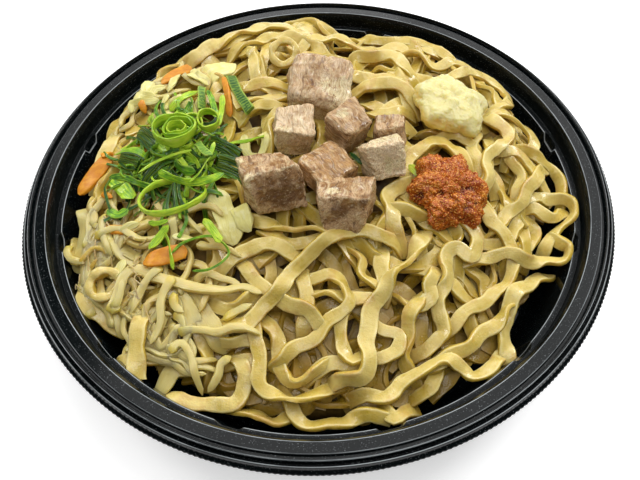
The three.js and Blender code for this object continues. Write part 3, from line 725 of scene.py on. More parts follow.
CABBAGES = [
    dict(width=8.5, thickness=1.8, stops=[(-38.5, -8), (-35, -18), (-30.5, -30)], twist=0.4),
    dict(width=7, thickness=1.8, stops=[(-30, -14), (-28, -21), (-25, -28)], twist=0.7),
    dict(width=3.6, thickness=1.5, stops=[(-29, 21), (-26.5, 10.5), (-21.5, 6.5), (-19, 11), (-21.5, 17)],
         twist=0.6),
    dict(width=9, thickness=1.4, stops=[(-48, 52), (-41, 57), (-34, 64)], twist=0.4),
]

ONION_PATCH = SimpleNamespace(at=(-55, 8), radius=(19, 19))
ONION_RINGS = [
    dict(at=(-53, -15.5, 6), radius=12.6, tilt=(-22, 4), band=1, deep=2.3, tone=0.92),
    dict(at=(-54, 14.5, 8), radius=8.4, tilt=(-6, 10), band=0.9, deep=4.2, tone=0.85),
    dict(at=(-52.5, 14.3, 7.6), radius=6, tilt=(-8, 4), band=0.8, deep=4.2, tone=0.7),
    dict(at=(-53.3, 15, 7), radius=4, tilt=(-8, 9), band=0.7, deep=4, tone=0.9),
    dict(at=(-41, 17.5, 7), radius=4.6, tilt=(8, 20), band=0.8, deep=3.4, tone=0.9),
]
# A strip's width, the height of its top over the heap, its turn on edge, its tone and its stops.
ONION_STRIPS = [
    (6.5, 6, 0.9, 0.8, [(-67.5, 31.5), (-64.5, 23), (-61.5, 14.5), (-57, 8.5)]),
    (4.6, 8, 0.8, 0.72, [(-60, -2), (-53, -7), (-46.5, -9.5), (-40, -9.5), (-34, -7.5)]),
    (1.5, 4, 0.3, 0.25, [(-72, 3), (-76.5, 4), (-80, 3), (-82, -2), (-80.5, -9), (-78, -15.5)]),
    (9, 2, 0.2, 0.8, [(-81, 3), (-75.5, -3), (-71, -9.5)]),
    (6, 3, 0.3, 0.6, [(-80, -13), (-75.5, -16), (-71.5, -14)]),
    (5, 3, 0.3, 0.7, [(-81.5, 16), (-75, 14.5), (-67, 10)]),
    (3.6, 5, 0.4, 0.55, [(-81.5, 3), (-74.5, 0.5), (-68, -4.5), (-62, -7)]),
    (1.5, 5, 0.6, 0.6, [(-53, -35.5), (-50, -32.5), (-45, -31), (-38.5, -31), (-34, -34.5), (-32, -38.5),
                        (-35.5, -42), (-40.5, -43.5), (-45, -43.3)]),
    (2, 4, 0.3, 0.85, [(-58, -24), (-55, -29.5), (-53.5, -35.5), (-52.5, -41)]),
    (5, 4, 0.3, 0.86, [(-48.5, 43.5), (-53.5, 38), (-59, 33)]),
    (4, 7, 0.5, 0.6, [(-43, 39), (-40.5, 31), (-38.5, 22)]),
    (3.4, 7, 0.5, 0.85, [(-36.5, 34.5), (-36.5, 25), (-37.5, 17)]),
    (1.7, 10, 0.3, 0.88, [(-67.5, -2.5), (-61, 1), (-53, 3), (-46.5, 3.5)]),
    (2.4, 10, 0.4, 0.82, [(-38, 6), (-39.5, -0.5), (-42.5, -6.5), (-46.5, -11)]),
    (6, 9, 0.4, 0.45, [(-53.5, 1), (-50, -4), (-45, -6)]),
    (3, 4, 0.4, 0.75, [(-63, -21), (-60, -22.5), (-55, -22)]),
    (5, 4, 0.6, 0.88, [(-41.5, -23), (-38, -28.5), (-35, -34)]),
    (4.6, 3, 0.6, 0.86, [(-55, -24), (-58.5, -28), (-62, -32)]),
    (3, 2, 0.3, 0.1, [(13.5, 3.4), (15.8, 0.5), (17.7, -2.3)]),
    (4, 3, 0.3, 1.1, [(35.5, -3), (37.6, -5.5), (39.6, -7.6)]),
]
# Bundles of fine shreds: from one end to the other, with a width and a count.
ONION_SHREDS = [
    ((-72, 25.5), (-62, 14), 5, 8), ((-41, 13), (-30, 5), 6, 9), ((-37, 1), (-26, -3), 5, 9),
    ((-78, 12.5), (-69, 5), 4, 7), ((-54, -6), (-52, -20), 5, 6), ((-66, -6), (-58, 2), 5, 6),
]
# Leaf slips: a width, a height over the heap and the stops.
ONION_LEAVES = [
    (3.6, 6, [(-45.8, 43), (-45.4, 36), (-45.2, 29)]),
    (3, 8, [(-45, 9), (-42, 3), (-39, -1)]),
]
ONION_LEAF = dict(width=4, thickness=1.2, stops=[(-35.5, 53), (-31, 39.5), (-25.5, 27)], twist=0.3,
                  lift=5)

# Middle [x, y, height over the heap], size and turn (yaw, pitch, roll in degrees) of each piece.
# Fat and dark spots are (place, reach) pairs, the dark ones searing and painted shade, mostly on faces
# turned from the lamps; a pull is (corner, millimetres). Their places run from -1 to 1 across the piece.
# Soft is how round its edges are; pale and tan are shares of colour.
PORK = [
    dict(at=(2, 34, 3), size=(26, 21, 20), turn=(-8, 16, 10), soft=0.35, pale=0.5,
         pull=[((-1, -1, -1), (6, -2, -1)), ((1, -1, -1), (-3, -3, -1)), ((-1, 1, 1), (2, 0, -1))],
         fat=[((0.9, -0.6, 0.7), 1.25), ((0.3, -1, -0.3), 1.0), ((-0.3, -1, 0.3), 0.7)],
         dark=[((-1, -0.7, 0.3), 0.9), ((-0.6, -0.9, -0.4), 0.5)]),
    dict(at=(-8, 11, 3), size=(13.5, 13.5, 13), turn=(4, 8, 6), soft=0.2, pale=0.85,
         pull=[((-1, -1, 1), (-1, 1, 0)), ((1, 1, 1), (1, 1, 0))],
         fat=[((-0.7, -0.9, 0.7), 0.9), ((-0.9, -1, -0.4), 1.0)], dark=[((0.6, -1, -0.3), 0.7)]),
    dict(at=(-16.5, -13, 3.5), size=(20, 17, 19), turn=(12, -20, 1), soft=0.15, pale=0.05,
         pull=[((-1, -1, -1), (3, 1, 0)), ((1, -1, -1), (2, 0, 1)), ((1, 1, 1), (-3, 0, 0))],
         fat=[((-1, -0.9, 0.9), 0.5), ((-1, 0.6, 0.9), 0.5)],
         dark=[((0.1, -1, -0.1), 1.1), ((0.9, -0.9, 0.3), 0.6)]),
    dict(at=(4, -7, 2.5), size=(18, 17, 9), turn=(38, 4, 6), soft=0.45, pale=0.2, fat=[], dark=[], tan=0.9),
    dict(at=(10, -24, 2.5), size=(20, 13, 16), turn=(-8, -20, -3), soft=0.15, pale=0.15,
         pull=[((1, -1, -1), (-4, 1, 1)), ((-1, -1, -1), (3, 0, -1)), ((1, 1, 1), (1, 1, 1))],
         fat=[((-0.4, -0.6, 1), 0.4)],
         dark=[((0.8, -0.9, 0.8), 0.5), ((-0.2, -1, 0.2), 0.7)]),
    dict(at=(12.5, 11.5, 2.5), size=(13, 12.5, 14), turn=(36, 10, 8), soft=0.3, pale=0.35, tan=0.35,
         pull=[((1, 1, 1), (1, 2, 1))],
         fat=[((-0.3, 0.4, 1), 0.4)], dark=[((1, 0, 0), 0.9), ((0.1, -1, -0.6), 0.7)]),
    dict(at=(29.5, 11, 1), size=(12, 10, 12), turn=(-7, -10, -5), soft=0.3, pale=0.25, fat=[],
         dark=[((-1, -1, 0.3), 0.8)]),
    dict(at=(25.5, -4, 3.5), size=(15, 13.5, 14.5), turn=(6, -30, -4), soft=0.2, pale=1.6,
         pull=[((-1, -1, -1), (2, 0, 1)), ((-1, 1, 1), (-1, 0, -2))],
         fat=[((0.4, 0, 1), 1.2), ((0.1, -1, 0.1), 0.5), ((0.05, -1, -0.4), 0.45), ((1, -0.9, 0), 1.0)],
         dark=[((-0.5, -0.3, 1), 0.2), ((-1, -0.4, 0.6), 0.6)]),
]

PORK_CELLS = 44          # along each edge of a cube
CORNER_PLAY = 1.1        # how far a corner may stray each way

# Mounds: the depth and number of the waves round the edge, then (size, depth) of lumps and creases.
GARLIC = SimpleNamespace(at=(56, 29), radius=(15, 16), rise=7.2, points=5, depth=0.08, seed=11,
                         lumps=[(7, 1.9), (3.4, 0.8)], blobs=[(3.4, 0.25), (1.7, 0.18), (0.9, 0.13)])
PASTE = SimpleNamespace(at=(49.5, -14.5), radius=(14, 14.5), rise=7.5, points=6, depth=0.13, seed=12,
                        lumps=[(6, 1.9), (2.8, 1.1), (1.3, 0.4)], blobs=[(3, 0.6), (0.9, 0.3)])

# Where the seeded sprouts and cabbage bits lie, and how many.
SPROUT_PATCH = SimpleNamespace(at=(-65, -36), radius=(26, 36), sprouts=62, cabbage=4)
CABBAGE_PATCH = SimpleNamespace(at=(-58, 46), radius=(17, 14), sprouts=18, cabbage=16)
ROOT_ENDS = 26
ONION_BITS = 170
LOWER_ONION_BITS = 90
LOWER_NOODLES = 135
START_CHOICES = 24       # of which a lower noodle starts at the one that is least filled up


@functools.cache
def laid():
    """Everything that lies on the heap, in the order it was put down, as lists of lines."""
    dice = random.Random(5)
    heap = HeightMap(lambda x, y: np.maximum(heap_top(x, y) - CORE_DEPTH,
                                             wall_height(np.hypot(x, y)) + 0.3))
    result = SimpleNamespace()
    result.below = []
    for _ in range(LOWER_NOODLES):
        spots = [(dice.uniform(0, 1) ** 0.5 * 90, dice.uniform(0, math.tau)) for _ in range(START_CHOICES)]
        spots = [(r * math.cos(a), r * math.sin(a)) for r, a in spots]
        start = min(spots, key=lambda spot: float(heap.at(*spot)) - float(heap_top(*spot)))
        stops = wander(dice, start, dice.uniform(0, math.tau), dice.uniform(55, 105), 0.6, 92)
        # The lower noodles are drawn with darker tones than the leading ones, as painted shade.
        result.below.append(lay(
            heap, stops, dice.uniform(4.8, 5.8), lift=-4.2 + 0.055 * start[1], twist=dice.uniform(0.3, 0.8),
            wiggle=0.5, phase=dice.uniform(0, 6), tone=dice.uniform(0, 0.6),
            flips=some_flips(dice, stops, 35, 1.4)))
    result.below += [lay(heap, stops, width, lift=-1, least=-4, twist=0.7, phase=width, dive=(4, 4))
                     for width, stops in FILLING_NOODLES]
    result.above = [
        lay(heap, stops, width * 0.87, lift=lift, least=-3.5, twist=0.7, phase=number * 2.4, wiggle=0.75,
            dive=(4, 4), tone=dice.uniform(0.3, 1.0), flips=some_flips(dice, stops, 50, 1.1))
        for number, (lift, (width, stops)) in enumerate(
            [(0.5, side) for side in SIDE_NOODLES] + [(2.5, lead) for lead in NOODLES])]
    result.above += [ring(**loop) for loop in NOODLE_LOOPS]
    result.cabbage = [tapered(lay(heap, tone=dice.uniform(0.3, 1), **piece), 5, 5) for piece in CABBAGES]
    result.slips = [tapered(lay(heap, thickness=1.2, lift=1.5, twist=0.5, phase=number, least=-4,
                                tone=dice.uniform(0.2, 0.8), dive=(3, 3), **piece), 6, 6)
                    for number, piece in enumerate(SLIPS)]
    result.sprouts = lay_sprouts(heap, dice)
    result.cut = lay(heap, CUT_NOODLE, 6.4, lift=4, least=-3, twist=0.1, dive=(5, 0), tone=0.8)
    result.carrots = [tapered(lay(heap, tone=dice.uniform(0.3, 1), **piece), 6, 2) for piece in CARROTS]
    result.carrot_bits = [tapered(lay(heap, [start, end], width, 1.6, lift=3.5, twist=0.8, phase=width * 3,
                                      tone=dice.uniform(0.2, 1)), 2, 2)
                          for start, end, width in CARROT_BITS]
    result.cabbage_bits = lay_cabbage_bits(heap, dice)
    result.leaf = lay(heap, tone=0.1, **ONION_LEAF)
    result.shreds = lay_onion(heap, dice)
    result.leaves = [lay(heap, stops, width, 0.9, lift=lift, least=lift - 4, twist=0.5, phase=width,
                         tone=dice.uniform(0.2, 0.7)) for width, lift, stops in ONION_LEAVES]
    return result


def spot_in(dice, patch, evenness=0.5):
    """A seeded [x, y] place in an oval patch."""
    angle, share = dice.uniform(0, math.tau), dice.uniform(0, 1) ** evenness
    return (patch.at[0] + patch.radius[0] * share * math.cos(angle),
            patch.at[1] + patch.radius[1] * share * math.sin(angle))


def lay_cabbage_bits(heap, dice):
    """Small frilled bits of cabbage among the sprouts."""
    lines = []
    for patch in (SPROUT_PATCH, CABBAGE_PATCH):
        for _ in range(patch.cabbage):
            stops = wander(dice, spot_in(dice, patch), dice.uniform(0, math.tau), dice.uniform(7, 15), 0.7,
                           88, stride=4)
            bit = lay(heap, stops, dice.uniform(3, 6), 0.9, lift=2.5, twist=0.9, sink=0.4, least=-4,
                      phase=dice.uniform(0, 6), tone=dice.uniform(0, 1))
            lines.append(tapered(bit, 3, 3))
    return lines


def lay_sprouts(heap, dice):
    """Bean sprouts: the leading ones over a tangle of seeded ones, with thin brown root ends."""
    lines, roots = [], []
    for patch in (SPROUT_PATCH, CABBAGE_PATCH):
        for _ in range(patch.sprouts):
            stops = wander(dice, spot_in(dice, patch), dice.uniform(0, math.tau), dice.uniform(14, 32), 0.8,
                           90, stride=5)
            width = dice.uniform(1.9, 3.2)
            lines.append(lay(heap, stops, width, width * 0.75, lift=1, least=-4.5, twist=0.6, sink=0.8,
                             wiggle=0.3, phase=dice.uniform(0, 6), tone=dice.uniform(0, 0.8)))
    lines += [lay(heap, thickness=sprout["width"] * 0.55, lift=4, twist=0.4, sink=0.6, least=-2,
                  phase=number, tone=dice.uniform(0.4, 1), **sprout)
              for number, sprout in enumerate(SPROUTS)]
    for line in lines:
        tapered(line, 1, 2)
        along = np.linspace(0, 1, len(line.points))
        from_head = walked_along(line.points)
        tail = 1 - 0.35 * np.clip((along - 0.75) / 0.25, 0, 1)
        line.size = line.size * (tail * 0.92 + 0.22 * np.exp(-((from_head - 2.4) / 2.2) ** 2))
        line.tone = line.tone + 0.9 * np.exp(-(from_head / 3.6) ** 2)
    for _ in range(ROOT_ENDS):
        stops = wander(dice, spot_in(dice, SPROUT_PATCH, 0.8), dice.uniform(0, math.tau),
                       dice.uniform(4, 10), 1.2, 80, stride=2)
        roots.append(lay(heap, stops, dice.uniform(0.4, 0.6), 0.4, lift=3.5, sink=0.1,
                         phase=dice.uniform(0, 6), tone=-0.8))
    return lines + roots


def ring(at, radius, oval=1, tilt=(0, 0), band=1.8, deep=3, tone=0.7, share=1.0, start=0.0):
    """A ring, or a share of one: a thin band round a tilted oval. At is [x, y, height over the heap]."""
    turn = Matrix.Rotation(math.radians(tilt[1]), 3, "Z") @ Matrix.Rotation(math.radians(tilt[0]), 3, "X")
    count = max(6, round(radius * math.tau * share / 0.9))
    angles = start + np.linspace(0, math.tau * share, count, endpoint=share < 1)
    reach = (radius - band / 2) * (1 + 0.04 * np.sin(2 * angles + radius) + 0.02 * np.sin(3 * angles))
    flat = np.column_stack([reach * np.cos(angles), reach * oval * np.sin(angles),
                            0.05 * radius * np.sin(2 * angles + at[0])])
    outward = np.column_stack([np.cos(angles), np.sin(angles), 0.15 * np.sin(3 * angles)])
    turned = np.array(turn)
    middle = np.array([at[0], at[1], heap_top(at[0], at[1]) + at[2]])
    return SimpleNamespace(points=flat @ turned.T + middle, side=outward @ turned.T, width=band,
                           size=1 + 0.12 * np.sin(5 * angles + at[0]), tone=np.full(count, tone),
                           closed=share >= 1, flat=np.full(count, deep / band))


def lay_onion(heap, dice):
    """Cut spring onion: seeded shreds and part rings over the patch, then the leading ones."""
    lines = []
    for number in range(ONION_BITS):
        x, y = spot_in(dice, ONION_PATCH, 0.6)
        # Bits laid lower are drawn with darker tones than those on top, as painted shade.
        on_top = number > LOWER_ONION_BITS
        if number % 4 == 0:
            height = float(heap.at(x, y)) - heap_top(x, y) + 1
            lines.append(ring((x, y, min(height, 5)), radius=dice.uniform(2.5, 7),
                              oval=dice.uniform(0.7, 1), tilt=(dice.uniform(-30, 30), dice.uniform(0, 180)),
                              band=dice.uniform(0.6, 0.9), deep=dice.uniform(0.9, 1.8),
                              tone=dice.uniform(0.4, 1) if on_top else dice.uniform(0, 0.7),
                              share=dice.uniform(0.3, 0.9), start=dice.uniform(0, math.tau)))
        else:
            stops = wander(dice, (x, y), dice.uniform(0, math.tau), dice.uniform(8, 22), 0.5, 92, stride=4)
            lines.append(lay(heap, stops, dice.uniform(0.9, 2.1), 0.5, lift=6 if on_top else 4.5, twist=0.9,
                             sink=0.3, phase=dice.uniform(0, 6),
                             tone=dice.uniform(0.3, 0.95) if on_top else dice.uniform(0, 0.7)))
    for start, end, spread, count in ONION_SHREDS:
        start, end = np.array(start, float), np.array(end, float)
        across = np.array([start[1] - end[1], end[0] - start[0]]) / math.dist(start, end)
        for share in np.linspace(-0.5, 0.5, count):
            aside = across * share * spread
            bow = across * dice.uniform(-1.5, 1.5)
            stops = [start + aside * dice.uniform(0.5, 1), (start + end) / 2 + aside + bow,
                     end + aside * dice.uniform(0.6, 1.6)]
            lines.append(lay(heap, stops, dice.uniform(0.8, 1.3), 0.7, lift=6, twist=0.3, sink=0.2,
                             tone=dice.uniform(0, 0.4)))
    for number, (width, lift, turn, tone, stops) in enumerate(ONION_STRIPS):
        strip = lay(heap, stops, width * 0.7, 0.5, lift=lift, least=lift - 3.5, twist=0.7, phase=number,
                    tone=tone, flips=[(0.5, turn)])
        lines.append(tapered(strip, 2, 2))
    lines += [ring(**one) for one in ONION_RINGS]
    return lines


# ------------------------------------------------------------------ finishes


def plate_finish(settings):
    """Black formed plastic: a little uneven in its gloss, finely scratched and dusty, with painted highlight
    lines along its ridges, and duller on the step inside the flange."""
    finish = Finish("black_plastic", specular_ior_level=0.08, coat_roughness=0.1)
    place = finish.place()
    cloud = finish.noise(place, 20)
    fine = finish.noise(place, 0.5, detail=2)
    dust = finish.noise(place, 0.35, detail=1)
    x, y = (finish.node("ShaderNodeSeparateXYZ", None, {0: place}, out=k) for k in (0, 1))
    radius = (x * x + y * y) ** 0.5
    # Painted highlight: thin pale lines on the rim's ridges, broken up by the cloud.
    ridge_glint_mask = functools.reduce(lambda a, b: a + b, [1 - abs(radius - at).between(0.02, 0.2) for at in PAINTED_GLINT_RADII])
    painted_edge_highlight = finish.mix(ridge_glint_mask * cloud.between(0.1, 0.6), settings.plate_colour, settings.plate_glint_and_dust)
    # Real dust specks, in the same pale colour as the painted ridge highlights.
    dusty = finish.mix(dust.between(0.68, 0.72) * 0.35, painted_edge_highlight, settings.plate_glint_and_dust)
    step = radius.between(101.2, 102) * (1 - radius.between(104.2, 104.7))
    gloss = (0.21 + cloud * 0.06 + fine * 0.06) * (1 - step * 0.85)
    return finish.wire(base_color=dusty, coat_weight=gloss,
                       roughness=settings.plate_roughness + cloud * 0.06 + fine * 0.06 + step * 0.2,
                       normal=finish.bump(fine, 0.01, 0.5))


def noodle_finish(settings):
    """Boiled wheat noodle: pale yellow, wet, streaked along its length, with painted highlights along its
    corners and painted shade on its narrow sides. Deeper in the heap it is painted browner, as sauce and
    shade, most at the front."""
    finish = Finish("boiled_noodle", subsurface_weight=0.2, subsurface_scale=0.003,
                    subsurface_radius=(1.0, 0.7, 0.25), specular_ior_level=0.55, coat_roughness=0.08)
    place = finish.place()
    strip = finish.on_strip()
    tone = finish.attribute("tone")
    across, rise = (abs(finish.attribute(label)) for label in ("across", "rise"))
    # Where the painted highlight along the noodle's corners falls.
    corner = across.between(0.55, 0.9) * rise.between(0.45, 0.9)
    broad = finish.noise(place, 8, detail=2)
    streaks = finish.noise(finish.stretched(strip, (0.14, 1, 1)), 1.1, detail=2)
    creases = finish.noise(finish.stretched(strip, (1, 0.4, 0.4)), 2, detail=3)
    specks = finish.noise(place, 0.6, detail=1)
    shade = tone * 0.6 + broad * 0.8 + (streaks - 0.5) * 0.5 + (creases - 0.5) * 0.6 - 0.2
    base = finish.mix(shade.between(0, 1), settings.noodle_dark, settings.noodle_light)
    # Painted shade on the narrow sides, then the painted highlight along the corners.
    side_shaded = finish.mix(rise.between(0.55, 0.9), settings.noodle_side_shade, base)
    edged = finish.mix(corner * 0.4, side_shaded, settings.noodle_edge_highlight)
    brushed = (finish.noise(place, 9, detail=4) + across * 0.12).between(0.6, 0.74) * (0.3 + streaks)
    tinged = finish.mix(brushed * 0.6, edged, (0.50, 0.27, 0.05))
    y = finish.node("ShaderNodeSeparateXYZ", None, {0: place}, out=1)
    # Painted shade and sauce: browner and darker the deeper a noodle lies under the heap's surface, less so
    # towards the back.
    towards_back = ((y + 70) * 0.09).function("MAXIMUM", 0)
    sauce_and_shade = (finish.attribute("depth") + broad * 4 - towards_back).between(3, 9.5)
    sauced_and_shaded = finish.mix(sauce_and_shade * 0.82, tinged, settings.noodle_sauce_and_shade)
    wet = finish.noise(place, 5, detail=2).between(0.45, 0.62)
    return finish.wire(base_color=sauced_and_shaded, roughness=0.38 - wet * 0.24 + specks * 0.16,
                       coat_weight=wet * (1 - sauce_and_shade) * 0.5,
                       normal=finish.bump(streaks * 0.2 + creases * 0.5 + specks * 0.3, 0.5, 0.8))


def sprout_finish(settings):
    """Simmered bean sprout: clear beige, browner in places, with a yellow bean at its head."""
    finish = Finish("bean_sprout", subsurface_weight=0.5, subsurface_scale=0.006,
                    subsurface_radius=(1.0, 0.75, 0.35), specular_ior_level=0.7, coat_weight=0.1,
                    coat_roughness=0.15)
    place = finish.place()
    strip = finish.on_strip()
    tone = finish.attribute("tone")
    cloud = finish.noise(place, 5)
    fibre = finish.noise(finish.stretched(strip, (0.15, 1, 1)), 0.8, detail=2)
    specks = finish.noise(place, 0.6, detail=1)
    body = finish.mix((tone * 0.7 + cloud * 0.9 + fibre * 0.6 - 0.45).between(0, 1), settings.sprout_dark,
                      settings.sprout_light)
    headed = finish.mix((tone - 0.9).between(0, 0.6) * 0.7, body, (0.66, 0.48, 0.05))
    rooted = finish.mix((0 - tone).between(0.1, 0.6), headed, (0.55, 0.36, 0.12))
    return finish.wire(base_color=rooted, roughness=0.25 + fibre * 0.25,
                       normal=finish.bump(fibre * 0.7 + specks * 0.3, 0.3, 0.7))


def onion_finish(settings):
    """Cut spring onion: green to yellow-green, with fine pale ribs along it and pale cut edges."""
    finish = Finish("spring_onion", subsurface_weight=0.12, subsurface_scale=0.002,
                    subsurface_radius=(0.5, 1.0, 0.1), specular_ior_level=0.3, coat_roughness=0.1)
    place = finish.place()
    tone = finish.attribute("tone")
    across = abs(finish.attribute("across"))
    cloud = finish.noise(place, 3.5)
    ribs = finish.noise(finish.stretched(finish.on_strip(), (0.08, 0.7, 0.7)), 0.45, detail=2)
    dark, light = (tuple(colour) for colour in (settings.onion_dark, settings.onion_light))
    shade = tone * 0.9 + (cloud - 0.5) * 0.7 + (ribs - 0.5) - 0.02
    base = finish.ramp(shade, [(0.05, (0.01, 0.055, 0.004)), (0.3, dark), (0.53, (0.13, 0.33, 0.01)),
                               (0.78, light), (1.0, (0.58, 0.68, 0.07))])
    edged = finish.mix(across.between(0.6, 0.95) * 0.3, base, (0.52, 0.66, 0.06))
    wet = finish.noise(place, 2.5, detail=2).between(0.42, 0.6)
    return finish.wire(base_color=edged, coat_weight=wet * 0.45, roughness=0.34 + ribs * 0.25,
                       normal=finish.bump(ribs, 0.3, 0.8))


def leaf_finish():
    """The blue-green outside of a spring onion leaf, ribbed across, with pale edges."""
    finish = Finish("onion_leaf", specular_ior_level=0.25)
    place = finish.place()
    tone = finish.attribute("tone")
    ribs = finish.noise(finish.stretched(place, (0.2, 1, 1)), 0.6, detail=2)
    edge = abs(finish.attribute("across")).between(0.6, 0.95)
    rungs = ((finish.attribute("along") * 4).function("SINE") + (ribs - 0.5) * 3).between(0.1, 0.9)
    shade = (ribs + tone * 0.5 - 0.15).between(0.3, 0.8)
    base = finish.mix(shade, (0.016, 0.085, 0.012), (0.20, 0.37, 0.055))
    laddered = finish.mix(rungs * 0.28, base, (0.46, 0.58, 0.065))
    edged = finish.mix(edge * 0.5, laddered, (0.56, 0.70, 0.1))
    return finish.wire(base_color=edged, roughness=0.4 + ribs * 0.2, normal=finish.bump(ribs, 0.25, 0.7))


def carrot_finish(settings):
    """Sliced carrot: orange with paler rings and paler ends."""
    finish = Finish("carrot", subsurface_weight=0.1, subsurface_scale=0.002,
                    subsurface_radius=(1.0, 0.4, 0.05), coat_weight=0.1, coat_roughness=0.25)
    place = finish.place()
    rings = finish.noise(finish.stretched(place, (0.6, 1.4, 1)), 2.2)
    fine = finish.noise(place, 0.7)
    end = finish.attribute("tone").between(1, 1.5)
    base = finish.mix(rings.between(0.35, 0.7), settings.carrot_colour, (0.80, 0.35, 0.012))
    edged = finish.mix(end * 0.8, base, (0.72, 0.60, 0.2))
    return finish.wire(base_color=edged, roughness=0.38 + fine * 0.2, normal=finish.bump(fine, 0.2, 0.6))


def cabbage_finish(settings):
    """Cooked cabbage: pale yellow-green between paler ribs."""
    finish = Finish("cabbage", subsurface_weight=0.2, subsurface_scale=0.003,
                    subsurface_radius=(1.0, 0.9, 0.3), coat_weight=0.2, coat_roughness=0.25)
    place = finish.place()
    veins = finish.noise(finish.stretched(finish.on_strip(), (0.15, 0.6, 0.6)), 0.8, distortion=0.6)
    cloud = finish.noise(place, 6)
    base = finish.mix(cloud.between(0.3, 0.7), settings.cabbage_colour, (0.75, 0.66, 0.2))
    veined = finish.mix(veins.between(0.45, 0.7) * 0.7, base, (0.90, 0.84, 0.44))
    return finish.wire(base_color=veined, roughness=0.35 + veins * 0.25, normal=finish.bump(veins, 0.6, 0.8))


def pork_finish(settings):
    """Simmered pork: brown and cream fibres, darker with searing and painted shade on the faces turned from
    the lamps, with fat, a painted highlight along its edges and painted pale glints.
    """
    finish = Finish("simmered_pork", subsurface_weight=0.1, subsurface_scale=0.002,
                    subsurface_radius=(1.0, 0.5, 0.25), specular_ior_level=0.35, coat_roughness=0.16)
    grain = finish.attribute("grain", out="Vector")
    fat, dark, edge, tan, pale = (finish.attribute(label)
                                  for label in ("fat", "dark", "edge", "tan", "pale"))
    swirl = finish.noise(grain, 8, detail=1)
    bent = finish.vector("ADD", grain, finish.xyz(swirl * 6, swirl * -4, swirl * 3))
    along_grain = finish.stretched(bent, (1, 0.14, 1))
    fibres = finish.noise(along_grain, 0.6, detail=3, roughness=0.7)
    bundles = finish.noise(along_grain, 1.9, detail=2)
    clumps = finish.noise(grain, 5, detail=5, roughness=0.62)
    pits = finish.noise(grain, 0.6, detail=2)
    cuts = finish.noise(grain, 6.5, detail=4, roughness=0.6, distortion=0.4)
    # The spots marked dark also darken the lean, as painted shade.
    light = (cuts + pale * 0.14 - dark * 0.12).between(0.42, 0.58)
    lean = finish.mix(light, settings.pork_dark, settings.pork_light)
    striped = finish.mix(bundles.between(0.52, 0.62) * 0.6, lean, (0.72, 0.56, 0.33))
    cracked = finish.mix((1 - bundles).between(0.57, 0.67) * 0.7, striped, (0.15, 0.065, 0.02))
    # Searing and painted shade: darker on the spots marked dark, mostly on the faces turned from the lamps,
    # mottled by the clumps.
    seared_and_shaded = finish.mix((dark * 0.9 + (clumps - 0.5) * 2.2).between(0.2, 0.8) * 0.8, cracked,
                        settings.pork_seared_and_shade)
    browned = finish.mix(tan * 0.85, seared_and_shaded, finish.mix(bundles.between(0.36, 0.56), (0.26, 0.13, 0.035),
                                                        (0.50, 0.28, 0.095)))
    paled = finish.mix((pale * 0.9 + (clumps - 0.5) * 2).between(0.2, 1) * (0.43 + pale * 0.22), browned,
                       (0.90, 0.75, 0.49))
    fatty = finish.mix((fat * 0.9 + (clumps - 0.5) * 2 + (pits - 0.5) * 0.9).between(0.3, 0.6) * 0.9,
                       paled, settings.pork_fat)
    # Painted highlight: pale rims along the cube's edges, broken up by clumps and fibres.
    painted_edge_highlight = (edge * (0.2 + clumps + (fibres - 0.5) * 0.8)).between(0.45, 0.75) * 0.65
    edged = finish.mix(painted_edge_highlight, fatty, (0.74, 0.60, 0.37))
    # Painted highlight: small pale glints along the grain.
    painted_glints = finish.mix(finish.noise(along_grain, 0.8, detail=3).between(0.57, 0.68) * 0.4, edged,
                         (0.86, 0.74, 0.52))
    grained = finish.mix(0.85, painted_glints, finish.ramp(fibres, [(0.34, (0.5, 0.34, 0.22)), (0.58, (1, 1, 1))]),
                         "MULTIPLY")
    wet = finish.noise(grain, 2.2, detail=3).between(0.48, 0.62)
    return finish.wire(base_color=grained, coat_weight=wet * 0.8, roughness=0.45 + pits * 0.3 - wet * 0.28,
                       normal=finish.bump(fibres * 0.5 + pits * 0.3 + bundles * 0.25, 0.8, 0.9))


def garlic_finish(settings):
    """Grated garlic: pale yellow, wet and a little clear, more orange low on its left."""
    finish = Finish("grated_garlic", subsurface_weight=0.9, subsurface_scale=0.008,
                    subsurface_radius=(1.0, 0.85, 0.4), coat_weight=0.1, coat_roughness=0.3)
    place = finish.place()
    cloud = finish.noise(place, 6)
    fine = finish.noise(place, 1.3)
    low = finish.attribute("low")
    base = finish.mix(cloud.between(0.3, 0.7), settings.garlic_colour, (0.72, 0.65, 0.31))
    flaked = finish.mix(fine.between(0.45, 0.7) * 0.4, base, (0.77, 0.71, 0.38))
    deep = finish.mix((low + cloud - 0.5 + finish.attribute("hollow") * 0.4).between(0.5, 1) * 0.7,
                      flaked, (0.79, 0.55, 0.10))
    return finish.wire(base_color=deep, roughness=0.38 + fine * 0.25, normal=finish.bump(fine, 0.35, 0.7))


